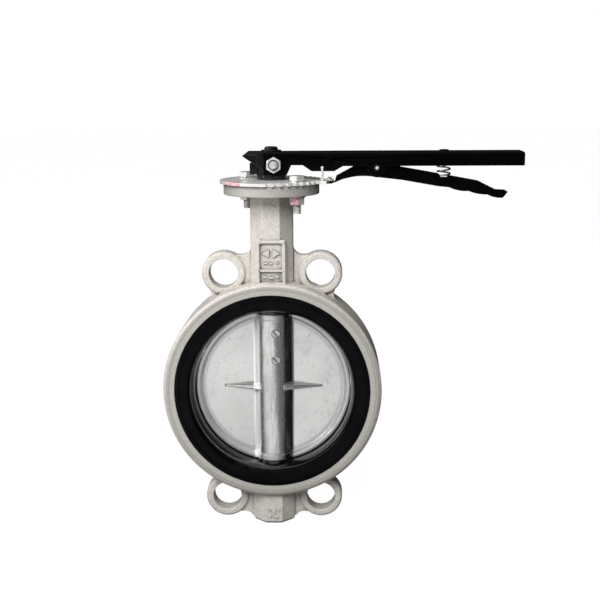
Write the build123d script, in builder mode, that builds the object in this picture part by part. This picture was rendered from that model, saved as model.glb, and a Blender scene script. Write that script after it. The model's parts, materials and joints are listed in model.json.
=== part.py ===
"""Lever operated wafer butterfly valve, 150 mm bore.

Millimetres. Origin at the centre of the bore: +Y runs along the pipe, +Z up the stem, and +X towards
the lever's grip while the disc is closed. Every sub-part is one function that returns its finished
solid, and the driving sizes are the named values below.
"""
from build123d import *
from math import asin, cos, degrees, radians, sin, sqrt
import os

# ---------------------------------------------------------------- clearances
rest_gap = 0.1             # between pieces that seat on each other
running_gap = 0.05         # radial, between a shaft and its bushing
free_gap = 0.3             # between pieces that pass each other

# ---------------------------------------------------------------- pipe side
bore_radius = 75.0         # clear bore through the seat
body_width = 56.0          # face to face of the casting
seat_wall = 10.0           # rubber behind the bore
ring_wall = 19.0           # casting behind the rubber
ring_chamfer = 3.0
seat_lip_reach = 17.7      # how far the lips on both faces reach out past the bore
seat_lip_depth = 3.5       # how far the lips are let into the casting
seat_proud = 0.8           # how far the lips stand proud of the casting
throat_half = 12.8         # half the length of the straight bore
mouth_flare = 6.0          # how much the bore widens towards each face
bead_radius = 0.7          # sealing bead that runs round each lip
bead_inset = 3.5           # from the outer edge of the lip to its bead

# ---------------------------------------------------------------- flange ears
ear_reach = 16.0           # from the ring out to the bolt circle of the pipe flange
bolt_angle = 22.5          # of each ear from the stem's line
ear_hole_radius = 13.9
ear_wall = 6.8
ear_thickness = 18.0
ear_rounding = 3.0
web_thickness = 11.0       # plate between the ears, the neck and the ring
web_reach = 17.0           # how far the plate runs past the ears' centre line
web_blend = 9.0            # rounding where the plate meets ears, neck and ring

# ---------------------------------------------------------------- neck and boss
neck_flats = 40.0          # across the flats of the octagon
neck_length = 82.0         # from the ring up to the top flange
flange_thickness = 10.0
flange_radius = 45.0
neck_blend = 3.0
boss_length = 31.0         # from the ring down to the foot of the boss
boss_chamfer = 2.0
pad_width = 26.8           # raised panel on the front of the neck
pad_height = 40.0          # of the panel above the ring
pad_rise = 2.6
pad_root = 4.0             # of the panel inside neck and ring
pad_border = 2.8
pad_recess = 1.3
pad_corner = 2.0
pad_inner_corner = 1.5
pad_divider_height = 11.4  # of the bar across the panel, above the ring
pad_divider_width = 2.0

# ---------------------------------------------------------------- stem line
stem_radius = 9.5
stem_square = 14.0
bushing_wall = 2.0
upper_bushing_length = 36.0
middle_bushing_length = 24.0
lower_bushing_length = 26.0
neck_ledge = 5.0           # metal between the rubber and the middle bushing
lower_ledge = 2.1          # metal between the rubber and the lower bushing
seal_ring_count = 3
seal_ring_pitch = 3.2
pocket_margin = 3.45       # of the recess in the top flange, round the bushing
pocket_depth = 6.0
washer_thickness = 1.5
ring_thickness = 1.4       # retaining ring
ring_reach = 3.0           # how far the retaining ring stands out of the stem
groove_depth = 1.0
stem_end_gap = 3.0         # below the stem, in the blind boss
boss_floor = 14.0          # metal left under the blind bore

# ---------------------------------------------------------------- disc
disc_edge_gap = 0.4        # between the disc's edge and the bore
disc_web = 5.0
rim_width = 6.5            # from the bore in to the foot of the rim
rim_slope = 2.6
rim_thickness = 13.0
hub_radius = 16.0
hub_blend = 7.0
hub_end_inset = 3.0        # from the bore in to the flat ends of the hub
hub_collar_length = 5.0
hub_collar_rise = 0.8
hub_flat_margin = 1.4      # of the rubber's flats round the hub's ends
rib_inset = 28.0           # from the bore in to the tips of the ribs
rib_root_height = 6.0      # across the rib, at the hub
rib_root_inset = 3.0       # of the rib's root behind the hub's front
rib_tip_height = 1.6
rib_tip_rise = 0.6
rib_rounding = 0.4         # of its corners, as a share of its height
disc_pin_radius = 3.9
disc_pin_taper = 0.4
disc_pin_inset = 21.0      # from the bore in to the upper screw
disc_pin_pitch = 26.0
disc_pin_offset = 3.5      # to the side of the stem's axis
disc_pin_slot = 1.8
disc_pin_slot_depth = 1.6
disc_pin_slot_turn = -50   # degrees
disc_pin_rise = 0.2        # of the screws' heads out of the hub

# ---------------------------------------------------------------- notch plate
plate_thickness = 3.0
plate_radius = 48.4        # over the tips of the teeth
plate_hole_margin = 0.9    # round the stem
tooth_depth = 3.2
tooth_pitch = 9.0          # degrees
tooth_width = 4.6          # of the notches
teeth_each_way = 10        # notches on either side of the closed position
screw_circle = 70.0        # four holes, as on a 70 mm actuator flange
screw_count = 2            # only one diagonal pair is filled
screw_radius = 4.0         # M8
screw_hole_radius = 4.5
hex_flats = 13.0
screw_head = 5.3
nut_height = 6.5
flat_washer_radius = 8.0
flat_washer_thickness = 1.6
screw_tail = 8.4           # thread left below each nut
tab_width = 8.0
tab_length = 7.1           # of the plate's two stop tabs, past its teeth
stop_pin_radius = 1.1
stop_ball_radius = 1.6     # rounded top of each stop pin
stop_pin_rise = 13.2
stop_pin_lead = 1.8        # of the stop pins' axes past the teeth
stop_collar_reach = 1.0    # of the collar each pin stands on
stop_collar_height = 1.0

# ---------------------------------------------------------------- lever
lever_width = 26.0
lever_sheet = 2.0
lever_rise = 25.6          # from the stem's shoulder to the top of the lever
lever_depth = 13.0         # of the channel's side walls
lever_start = -6.5
grip_length = 136.0        # of the lever past its pivot
lever_step = 1.0           # lift of the side walls between saddle and lug
lever_corner = 2.5
lug_drop = 4.6             # of the stop lug below the side walls
lug_lead = 12.2            # of the lug's start before the stop pins
lug_length = 21.0
lug_slope = 8.0
saddle_drop = 8.0          # of the side walls beside the hub
saddle_end = 15.0
hub_block_half = 13.0      # hub casting, along the lever
hub_foot_radius = 13.5
hub_foot_height = 4.5
nose_tip = -26.5
nose_drop = 3.4
nose_lift = 0.5            # of the nose above the side walls' edge
nose_slope = 4.5           # length and height of the nose's slanted ends
nose_pocket = 1.2          # depth of the hollow in each side of the nose
nose_border = 2.4          # round that hollow
stub_size = 7.0            # small cast stub behind the hub
open_angle = 90.0

clamp_offset = 3.0
clamp_lift = 1.5           # of the grub screw above the side walls' edge
clamp_screw_tail = 2.2     # past the lock nut
socket_radius = 2.3        # hexagon of the grub screw, across corners
top_socket_radius = 2.9
top_socket_depth = 2.0
top_washer_radius = 9.5
top_washer_thickness = 1.5
top_head_radius = 6.4
top_head_height = 3.0
top_screw_length = 18.0
socket_depth = 4.0
spacer_reach = 44.5        # of the spacer before the pivot
spacer_lift = 5.0          # of the spacer above the side walls' edge
spacer_radius = 2.0
rivet_head_reach = 1.3     # of a rivet's head past its shank
rivet_head_height = 1.1

# ---------------------------------------------------------------- trigger
pivot_reach = 50.1         # of the pivot past the teeth of the plate
pivot_drop = 1.5           # of the pivot below the side walls of the lever
pivot_radius = 2.5
pivot_boss_radius = 6.5
cheek_radius = 9.0         # rounded ears of the lever that hold the pivot
trigger_width = 12.0
trigger_rounding = 1.6
tip_width = 8.0            # of the trigger under its latch tooth
tip_length = 8.0
tip_thickness = 2.4
latch_gap = 0.4            # from the tips of the teeth to the latch tooth
tooth_overhang = 2.8       # of the latch tooth past the trigger
latch_width = 4.0
latch_thickness = 2.0
latch_height = 1.3         # of the latch tooth's underside above the plate's
latch_rivet_radius = 1.2
latch_head_radius = 2.3
latch_head_height = 1.6
latch_border = 1.0         # of the latch tooth round its rivet's head

# ---------------------------------------------------------------- spring
spring_reach = 62.5        # of the spring past the pivot
spring_radius = 6.7
spring_wire = 1.6
spring_seat_drop = 10.1    # of the spring's seat below the pivot
spring_rivet_radius = 2.6
spring_rivet_length = 9.0
spring_head_radius = 4.8
spring_head_height = 1.3

# ---------------------------------------------------------------- worked out
half_width = body_width / 2
seat_outer_radius = bore_radius + seat_wall
ring_radius = seat_outer_radius + ring_wall
seat_lip_radius = bore_radius + seat_lip_reach
bolt_circle = 2 * (ring_radius + ear_reach)
flange_bottom = ring_radius + neck_length
boss_bottom = ring_radius + boss_length
pad_top = ring_radius + pad_height
pad_divider = ring_radius + pad_divider_height
neck_step = seat_outer_radius + neck_ledge
rim_inner_radius = bore_radius - rim_width
hub_end = bore_radius - hub_end_inset
rib_tip = bore_radius - rib_inset
rib_root_depth = 2 * (hub_radius - rib_root_inset)
disc_pin_heights = (bore_radius - disc_pin_inset, bore_radius - disc_pin_inset - disc_pin_pitch)
seat_face = half_width + seat_proud
ear_centre_x = bolt_circle / 2 * sin(radians(bolt_angle))
ear_centre_z = bolt_circle / 2 * cos(radians(bolt_angle))
ear_radius = ear_hole_radius + ear_wall
flange_top = flange_bottom + flange_thickness
bushing_outer = stem_radius + running_gap + bushing_wall
neck_bore = bushing_outer + running_gap
pocket_radius = bushing_outer + pocket_margin
pocket_floor = flange_top - pocket_depth
upper_bushing_top = pocket_floor - rest_gap
lower_bore_end = -(boss_bottom - boss_floor)
stem_bottom = lower_bore_end + stem_end_gap
lower_bushing_bottom = -(seat_outer_radius + lower_ledge) - lower_bushing_length
ring_bottom = pocket_floor + rest_gap + washer_thickness + rest_gap
plate_bottom = flange_top + rest_gap
plate_top = plate_bottom + plate_thickness
plate_hole_radius = stem_radius + plate_hole_margin
tab_reach = plate_radius + tab_length
stop_pin_circle = plate_radius + stop_pin_lead
square_bottom = plate_top + free_gap
disc_radius = bore_radius - disc_edge_gap
screw_end = flange_bottom - flat_washer_thickness - nut_height - screw_tail
pivot_x = plate_radius + pivot_reach
spring_x = pivot_x + spring_reach
spacer_x = pivot_x - spacer_reach
lever_end = pivot_x + grip_length
lug_start = stop_pin_circle - lug_lead
lever_top = square_bottom + lever_rise
lever_bottom = lever_top - lever_depth
lug_bottom = lever_bottom - lug_drop
saddle_bottom = lever_bottom - saddle_drop
nose_bottom = lever_bottom + nose_lift
clamp_height = lever_bottom + clamp_lift
spacer_z = lever_bottom + spacer_lift
pivot_z = lever_bottom - pivot_drop
spring_seat_z = pivot_z - spring_seat_drop
latch_tip_x = plate_radius + latch_gap
trigger_tip_x = latch_tip_x + tooth_overhang
tip_top = plate_bottom + latch_height - rest_gap
latch_rivet_x = trigger_tip_x + tip_length / 2 - 1
channel_half = lever_width / 2 - lever_sheet
lever_ceiling = lever_top - lever_sheet
hub_half_width = channel_half - rest_gap
hub_top = lever_ceiling - rest_gap
stem_top = hub_top - rest_gap
nut_face = -lever_width / 2 - rest_gap
stop_offset = lever_width / 2 + free_gap + stop_ball_radius
stop_lead = degrees(asin(stop_offset / stop_pin_circle))
stop_angles = (-stop_lead, open_angle + stop_lead)


def ear_places():
    """Centres of the four ears, in the plane across the pipe."""
    return [(x, z) for x in (-ear_centre_x, ear_centre_x) for z in (-ear_centre_z, ear_centre_z)]


def make_neck_bar():
    """Octagonal bar on the stem's line, from the foot of the boss to the top flange."""
    with BuildPart() as bar:
        with BuildSketch(Plane.XY.offset(-boss_bottom)):
            RegularPolygon(neck_flats / 2, 8, major_radius=False, rotation=22.5)
        extrude(amount=boss_bottom + flange_bottom)
        chamfer(bar.edges().group_by(Axis.Z)[0], length=boss_chamfer)
    return bar.part


def make_body():
    """Casting: ring, four ears on their webs, neck with its top flange, and the bottom boss."""
    neck_bar = make_neck_bar()
    panel = make_name_panel()
    openings = make_body_openings()
    with BuildPart() as body:
        with BuildSketch(Plane.XZ):
            Circle(ring_radius)
        extrude(amount=half_width, both=True)
        chamfer(body.edges().filter_by(GeomType.CIRCLE), length=ring_chamfer)
        with BuildSketch(Plane.XZ) as webs:
            Circle(ring_radius)
            web_top = ear_centre_z + web_reach
            Rectangle(neck_flats, 2 * flange_bottom)
            Rectangle(2 * ear_centre_x, 2 * web_top)
            with Locations(*ear_places()):
                Circle(ear_radius)
            hollow = [v for v in webs.vertices() if is_hollow_corner(v)]
            fillet(hollow, radius=web_blend)
            with Locations((0, boss_chamfer + 1 - boss_bottom)):
                below = (Align.CENTER, Align.MAX)
                Rectangle(2 * neck_flats, flange_bottom, align=below, mode=Mode.SUBTRACT)
        extrude(amount=web_thickness / 2, both=True)
        with BuildSketch(Plane.XZ):
            with Locations(*ear_places()):
                Circle(ear_radius)
        extrude(amount=ear_thickness / 2, both=True)
        rims = [e for e in body.edges().filter_by(GeomType.CIRCLE)
                if abs(e.radius - ear_radius) < 0.01 and abs(abs(e.center().Y) - ear_thickness / 2) < 0.01]
        fillet(rims, radius=ear_rounding)
        add(neck_bar)
        with BuildSketch(Plane.XY.offset(flange_bottom)):
            Circle(flange_radius)
        extrude(amount=flange_thickness)
        straight = body.edges().filter_by(GeomType.LINE)
        under = [e for e in straight if abs(e.center().Z - flange_bottom) < 0.01]
        fillet(under, radius=neck_blend)
        add(panel)
        add(openings, mode=Mode.SUBTRACT)
    body.part.label = "body"
    return body.part


def is_hollow_corner(vertex):
    """Inside corners of the web plate: where ears, neck, plate and ring meet."""
    x, z = abs(vertex.X), abs(vertex.Y)
    at_neck = abs(x - neck_flats / 2) < 0.01 and abs(z - ear_centre_z - web_reach) < 0.01
    at_ear = abs(z - ear_centre_z - web_reach) < 0.01 and x > neck_flats / 2 + 1
    from_ear = sqrt((x - ear_centre_x) ** 2 + (z - ear_centre_z) ** 2)
    at_ring = abs(from_ear - ear_radius) < 0.01 and abs(sqrt(x * x + z * z) - ring_radius) < 0.01
    return at_neck or at_ear or at_ring


def make_name_panel():
    """Raised panel on the front of the neck, sunk inside its border and crossed by a bar."""
    root = neck_flats / 2 - pad_root
    panel_bottom = ring_radius - pad_root
    inner_width = pad_width - 2 * pad_border
    upper_bottom = pad_divider + pad_divider_width / 2
    lower_top = pad_divider - pad_divider_width / 2
    upwards = (Align.CENTER, Align.MIN)
    downwards = (Align.CENTER, Align.MAX)
    with BuildPart() as panel:
        with BuildSketch(Plane.XZ.offset(root)):
            with Locations((0, panel_bottom)):
                RectangleRounded(pad_width, pad_top - panel_bottom, pad_corner, align=upwards)
        extrude(amount=pad_root + pad_rise)
        with BuildSketch(Plane.XZ.offset(neck_flats / 2 + pad_rise)):
            with Locations((0, upper_bottom)):
                upper_height = pad_top - pad_border - upper_bottom
                RectangleRounded(inner_width, upper_height, pad_inner_corner, align=upwards)
            with Locations((0, lower_top)):
                lower_height = lower_top - ring_radius
                RectangleRounded(inner_width, lower_height, pad_inner_corner, align=downwards)
        extrude(amount=-pad_recess, mode=Mode.SUBTRACT)
    return panel.part


def make_body_openings():
    """Everything cut out of the casting: seat pocket, ear holes, stem bores and screw holes."""
    with BuildPart() as openings:
        with BuildSketch(Plane.XZ):
            Circle(seat_outer_radius + rest_gap)
        extrude(amount=half_width, both=True)
        for side in (-1, 1):
            with BuildSketch(Plane.XZ.offset(side * half_width)):
                Circle(seat_lip_radius + rest_gap)
            extrude(amount=-side * (seat_lip_depth + rest_gap))
        with BuildSketch(Plane.XZ):
            with Locations(*ear_places()):
                Circle(ear_hole_radius)
        extrude(amount=ear_thickness, both=True)
        with BuildSketch(Plane.XY):
            Circle(stem_radius + free_gap)
        extrude(amount=flange_top)
        with BuildSketch(Plane.XY.offset(neck_step)):
            Circle(neck_bore)
        extrude(amount=flange_top - neck_step)
        with BuildSketch(Plane.XY):
            Circle(neck_bore)
        extrude(amount=lower_bore_end)
        with BuildSketch(Plane.XY.offset(pocket_floor)):
            Circle(pocket_radius)
        extrude(amount=pocket_depth)
        with BuildSketch(Plane.XY.offset(flange_bottom - neck_blend)):
            with PolarLocations(screw_circle / 2, 4, start_angle=45):
                Circle(screw_hole_radius)
        extrude(amount=flange_thickness + neck_blend)
    return openings.part


def make_seat():
    """Rubber liner: straight throat, flared mouths, a beaded lip on each face, flats for the disc's hub."""
    mouth_radius = bore_radius + mouth_flare
    lip_back = half_width - seat_lip_depth
    bead_at = seat_lip_radius - bead_inset
    with BuildPart() as seat:
        with BuildSketch(Plane.XY):
            with BuildLine():
                Line((bore_radius, 0), (bore_radius, throat_half))
                mouth = ThreePointArc(
                    (bore_radius, throat_half),
                    (bore_radius + mouth_flare * 0.29, (throat_half + seat_face) / 2 + 0.8),
                    (mouth_radius, seat_face),
                )
                Line(mouth @ 1, (seat_lip_radius, seat_face))
                Line((seat_lip_radius, seat_face), (seat_lip_radius, lip_back))
                Line((seat_lip_radius, lip_back), (seat_outer_radius, lip_back))
                Line((seat_outer_radius, lip_back), (seat_outer_radius, 0))
                Line((seat_outer_radius, 0), (bore_radius, 0))
            make_face()
            with Locations((bead_at, seat_face)):
                Circle(bead_radius)
            mirror(about=Plane.XZ)
        revolve(axis=Axis.Y)
        for side in (-1, 1):
            with BuildSketch(Plane.XY.offset(side * (hub_end + free_gap))):
                Circle(hub_radius + hub_flat_margin)
            extrude(amount=side * (bore_radius - hub_end + 1.0))
        with BuildSketch(Plane.XY):
            Circle(stem_radius + free_gap)
        extrude(amount=ring_radius, both=True, mode=Mode.SUBTRACT)
    seat.part.label = "seat"
    return seat.part


def make_disc():
    """Closing disc: thin web in a thicker rim, a hub across it, and a tapered rib on each side."""
    with BuildPart() as disc:
        with BuildSketch(Plane.XY):
            with BuildLine():
                Polyline(
                    (0, 0), (0, disc_web / 2), (rim_inner_radius, disc_web / 2),
                    (rim_inner_radius + rim_slope, rim_thickness / 2), (bore_radius + 2, rim_thickness / 2),
                    (bore_radius + 2, 0), close=True,
                )
            make_face()
            mirror(about=Plane.XZ)
        revolve(axis=Axis.Y)
        with BuildSketch(Plane.XY.offset(-hub_end)) as section:
            Circle(hub_radius)
            Rectangle(2 * (hub_radius + hub_blend + 3), disc_web)
            corners = [v for v in section.vertices() if v.X ** 2 + v.Y ** 2 < (hub_radius + 0.01) ** 2]
            fillet(corners, radius=hub_blend)
        extrude(amount=2 * hub_end)
        for side in (-1, 1):
            with BuildSketch(Plane.XY.offset(side * hub_end)):
                Circle(hub_radius + hub_collar_rise)
            extrude(amount=-side * hub_collar_length)
        for side in (-1, 1):
            root = Plane(origin=(side * (hub_radius - 5), 0, 0), x_dir=(0, 1, 0), z_dir=(1, 0, 0))
            tip = Plane(origin=(side * rib_tip, 0, 0), x_dir=(0, 1, 0), z_dir=(1, 0, 0))
            with BuildSketch(root):
                RectangleRounded(rib_root_depth, rib_root_height, rib_root_height * rib_rounding)
            with BuildSketch(tip):
                tip_corner = rib_tip_height * rib_rounding
                RectangleRounded(disc_web + 2 * rib_tip_rise, rib_tip_height, tip_corner)
            loft()
        with BuildSketch(Plane.XY):
            with BuildLine():
                arc = ThreePointArc((0, -disc_radius), (disc_radius, 0), (0, disc_radius))
                Line(arc @ 1, arc @ 0)
            make_face()
        revolve(axis=Axis.Y, mode=Mode.INTERSECT)
        for side in (-1, 1):
            with BuildSketch(Plane.XY.offset(side * hub_end)):
                Circle(hub_radius + 2.0)
            extrude(amount=side * bore_radius, mode=Mode.SUBTRACT)
        with BuildSketch(Plane.XY):
            Circle(stem_radius + running_gap)
        extrude(amount=bore_radius, both=True, mode=Mode.SUBTRACT)
        with BuildSketch(Plane.XZ.offset(2 * hub_radius)):
            with Locations(*[(disc_pin_offset, z) for z in disc_pin_heights]):
                Circle(disc_pin_radius + running_gap)
        extrude(amount=-4 * hub_radius, mode=Mode.SUBTRACT)
    disc.part.label = "disc"
    return disc.part


def make_disc_pins():
    """Two slotted taper screws that fix the hub of the disc to the stem."""
    front = sqrt(hub_radius ** 2 - disc_pin_offset ** 2) + disc_pin_rise
    back = front - disc_pin_rise - hub_flat_margin / 2
    with BuildPart() as pins:
        for height in disc_pin_heights:
            with BuildSketch(Plane.XZ.offset(front)):
                with Locations((disc_pin_offset, height)):
                    Circle(disc_pin_radius)
            with BuildSketch(Plane.XZ.offset(-back)):
                with Locations((disc_pin_offset, height)):
                    Circle(disc_pin_radius - disc_pin_taper)
            loft()
            with BuildSketch(Plane.XZ.offset(front)):
                with Locations((disc_pin_offset, height)):
                    Rectangle(3 * disc_pin_radius, disc_pin_slot, rotation=disc_pin_slot_turn)
            extrude(amount=-disc_pin_slot_depth, mode=Mode.SUBTRACT)
    pins.part.label = "disc_pins"
    return pins.part


def make_stem():
    """One-piece shaft: round through body and disc, grooved for its ring, square under the lever."""
    with BuildPart() as stem:
        with BuildSketch(Plane.XY.offset(stem_bottom)):
            Circle(stem_radius)
        extrude(amount=square_bottom - stem_bottom)
        chamfer(stem.edges().filter_by(GeomType.CIRCLE).sort_by(Axis.Z)[0], length=1.0)
        with BuildSketch(Plane.XY.offset(square_bottom)) as square:
            Rectangle(stem_square, stem_square)
            Circle(stem_radius, mode=Mode.INTERSECT)
        extrude(amount=stem_top - square_bottom)
        with BuildSketch(Plane.XY.offset(ring_bottom - rest_gap)):
            Circle(stem_radius + 1)
            Circle(stem_radius - groove_depth, mode=Mode.SUBTRACT)
        extrude(amount=ring_thickness + 2 * rest_gap, mode=Mode.SUBTRACT)
        with BuildSketch(Plane.XZ.offset(2 * stem_radius)):
            with Locations(*[(disc_pin_offset, z) for z in disc_pin_heights]):
                Circle(disc_pin_radius + running_gap)
        extrude(amount=-4 * stem_radius, mode=Mode.SUBTRACT)
        with BuildSketch(Plane.XY.offset(stem_top)):
            Circle(screw_radius + running_gap)
        extrude(amount=-top_screw_length, mode=Mode.SUBTRACT)
    stem.part.label = "stem"
    return stem.part


def make_sleeve(label, bottom, length):
    """Plain bushing round the stem."""
    with BuildPart() as sleeve:
        with BuildSketch(Plane.XY.offset(bottom)):
            Circle(bushing_outer)
            Circle(stem_radius + running_gap, mode=Mode.SUBTRACT)
        extrude(amount=length)
        chamfer(sleeve.edges().filter_by(GeomType.CIRCLE), length=0.4)
    sleeve.part.label = label
    return sleeve.part


def make_seal_rings():
    """Stack of rubber rings above the middle bushing."""
    section = (bushing_wall - running_gap) / 2
    first = neck_step + rest_gap + middle_bushing_length + rest_gap + section
    middle = stem_radius + running_gap + bushing_wall / 2
    with BuildPart() as rings:
        for index in range(seal_ring_count):
            with BuildSketch(Plane.XZ):
                with Locations((middle, first + index * seal_ring_pitch)):
                    Circle(section)
            revolve(axis=Axis.Z)
    rings.part.label = "stem_seal_rings"
    return rings.part


def make_thrust_washer():
    """Flat washer on the floor of the top flange's recess."""
    with BuildPart() as washer:
        with BuildSketch(Plane.XY.offset(pocket_floor + rest_gap)):
            Circle(pocket_radius - free_gap)
            Circle(stem_radius + running_gap, mode=Mode.SUBTRACT)
        extrude(amount=washer_thickness)
    washer.part.label = "thrust_washer"
    return washer.part


def make_retaining_ring():
    """Open ring sprung into the groove of the stem, which keeps the stem from being pushed out."""
    outer = stem_radius + ring_reach
    with BuildPart() as ring:
        with BuildSketch(Plane.XY.offset(ring_bottom)):
            Circle(outer)
            Circle(stem_radius - groove_depth + running_gap, mode=Mode.SUBTRACT)
            with Locations((-outer, 0)):
                Rectangle(outer, 0.5 * stem_radius, mode=Mode.SUBTRACT)
        extrude(amount=ring_thickness)
    ring.part.label = "retaining_ring"
    return ring.part


def make_notch_plate():
    """Toothed plate under the lever, with two tabs that carry the stop pins."""
    with BuildPart() as plate:
        with BuildSketch(Plane.XY.offset(plate_bottom)):
            Circle(plate_radius)
            for index in range(-teeth_each_way, teeth_each_way + 1):
                angle = index * tooth_pitch
                if min(abs(angle - stop) for stop in stop_angles) > 0.9 * tooth_pitch:
                    with PolarLocations(plate_radius, 1, start_angle=angle):
                        Rectangle(2 * tooth_depth, tooth_width, mode=Mode.SUBTRACT)
            for angle in stop_angles:
                with PolarLocations(tab_reach - tab_width, 1, start_angle=angle):
                    Rectangle(2 * tab_width, tab_width)
                with PolarLocations(stop_pin_circle, 1, start_angle=angle):
                    Circle(stop_pin_radius + running_gap, mode=Mode.SUBTRACT)
            Circle(plate_hole_radius, mode=Mode.SUBTRACT)
            with PolarLocations(screw_circle / 2, 4, start_angle=45):
                Circle(screw_hole_radius, mode=Mode.SUBTRACT)
        extrude(amount=plate_thickness)
    plate.part.label = "notch_plate"
    return plate.part


def make_stop_pins():
    """Upright pins with rounded tops, one at each end of the lever's travel."""
    pin_top = plate_top + stop_pin_rise
    with BuildPart() as pins:
        for angle in stop_angles:
            place = Vector(stop_pin_circle, 0, 0).rotate(Axis.Z, angle)
            with BuildSketch(Plane.XY.offset(plate_bottom)):
                with Locations((place.X, place.Y)):
                    Circle(stop_pin_radius)
            extrude(amount=pin_top - stop_ball_radius - plate_bottom)
            with Locations((place.X, place.Y, pin_top - stop_ball_radius)):
                Sphere(stop_ball_radius)
            with BuildSketch(Plane.XY.offset(plate_top + rest_gap)):
                with Locations((place.X, place.Y)):
                    Circle(stop_pin_radius + stop_collar_reach)
            extrude(amount=stop_collar_height)
    pins.part.label = "stop_pins"
    return pins.part


def make_plate_screws():
    """Two hexagon screws, on a diagonal, that hold the notch plate to the top flange."""
    with BuildPart() as screws:
        with BuildSketch(Plane.XY.offset(plate_top + rest_gap)):
            with PolarLocations(screw_circle / 2, screw_count, start_angle=-45):
                RegularPolygon(hex_flats / 2, 6, major_radius=False)
        extrude(amount=screw_head)
        with BuildSketch(Plane.XY.offset(screw_end)):
            with PolarLocations(screw_circle / 2, screw_count, start_angle=-45):
                Circle(screw_radius)
        extrude(amount=plate_top + 2 * rest_gap - screw_end)
    screws.part.label = "plate_screws"
    return screws.part


def make_plate_washers():
    """Two flat washers under the top flange."""
    with BuildPart() as washers:
        with BuildSketch(Plane.XY.offset(flange_bottom - rest_gap)):
            with PolarLocations(screw_circle / 2, screw_count, start_angle=-45):
                Circle(flat_washer_radius)
                Circle(screw_radius + running_gap, mode=Mode.SUBTRACT)
        extrude(amount=-(flat_washer_thickness - 2 * rest_gap))
    washers.part.label = "plate_washers"
    return washers.part


def make_plate_nuts():
    """Two hexagon nuts under the top flange."""
    with BuildPart() as nuts:
        with BuildSketch(Plane.XY.offset(flange_bottom - flat_washer_thickness)):
            with PolarLocations(screw_circle / 2, screw_count, start_angle=-45):
                RegularPolygon(hex_flats / 2, 6, major_radius=False)
                Circle(screw_radius + running_gap, mode=Mode.SUBTRACT)
        extrude(amount=-nut_height)
    nuts.part.label = "plate_nuts"
    return nuts.part


def make_lever_hub():
    """Cast hub with a square socket, a round foot and the nose at the back of the lever."""
    with BuildPart() as hub:
        with BuildSketch(Plane.XY.offset(square_bottom)):
            Circle(hub_block_half + lever_step)
            Rectangle(2 * hub_block_half, 2 * hub_half_width, mode=Mode.INTERSECT)
        extrude(amount=hub_top - square_bottom)
        with BuildSketch(Plane.XY.offset(square_bottom)):
            Circle(hub_foot_radius)
        extrude(amount=hub_foot_height)
        with BuildSketch(Plane.XZ):
            with BuildLine():
                Polyline(
                    (lever_start - rest_gap, nose_bottom - nose_slope),
                    (lever_start - rest_gap, lever_top),
                    (nose_tip + nose_slope, lever_top), (nose_tip, lever_top - nose_drop),
                    (-hub_block_half, nose_bottom), close=True,
                )
            make_face()
        extrude(amount=lever_width / 2, both=True)
        for side in (-1, 1):
            with BuildSketch(Plane.XZ.offset(side * lever_width / 2)):
                with BuildLine():
                    Polyline(
                        (-hub_block_half, nose_bottom + nose_border),
                        (-hub_block_half, lever_top - nose_border),
                        (nose_tip + nose_slope, lever_top - nose_border),
                        (nose_tip + nose_border, lever_top - nose_drop), close=True,
                    )
                make_face()
            extrude(amount=-side * nose_pocket, mode=Mode.SUBTRACT)
        with BuildSketch(Plane.XY.offset(square_bottom + hub_foot_height)):
            with Locations((-hub_block_half, 0)):
                Rectangle(2 * stub_size, 1.4 * stub_size)
        extrude(amount=nose_bottom - square_bottom - hub_foot_height + 2)
        with BuildSketch(Plane.XY.offset(square_bottom)):
            Rectangle(stem_square + 2 * rest_gap, stem_square + 2 * rest_gap)
        extrude(amount=hub_top - square_bottom, mode=Mode.SUBTRACT)
        with BuildSketch(Plane.XZ.offset(lever_width)):
            with Locations((clamp_offset, clamp_height)):
                Circle(screw_radius + running_gap)
        extrude(amount=-lever_width, mode=Mode.SUBTRACT)
    hub.part.label = "lever_hub"
    return hub.part


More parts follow.
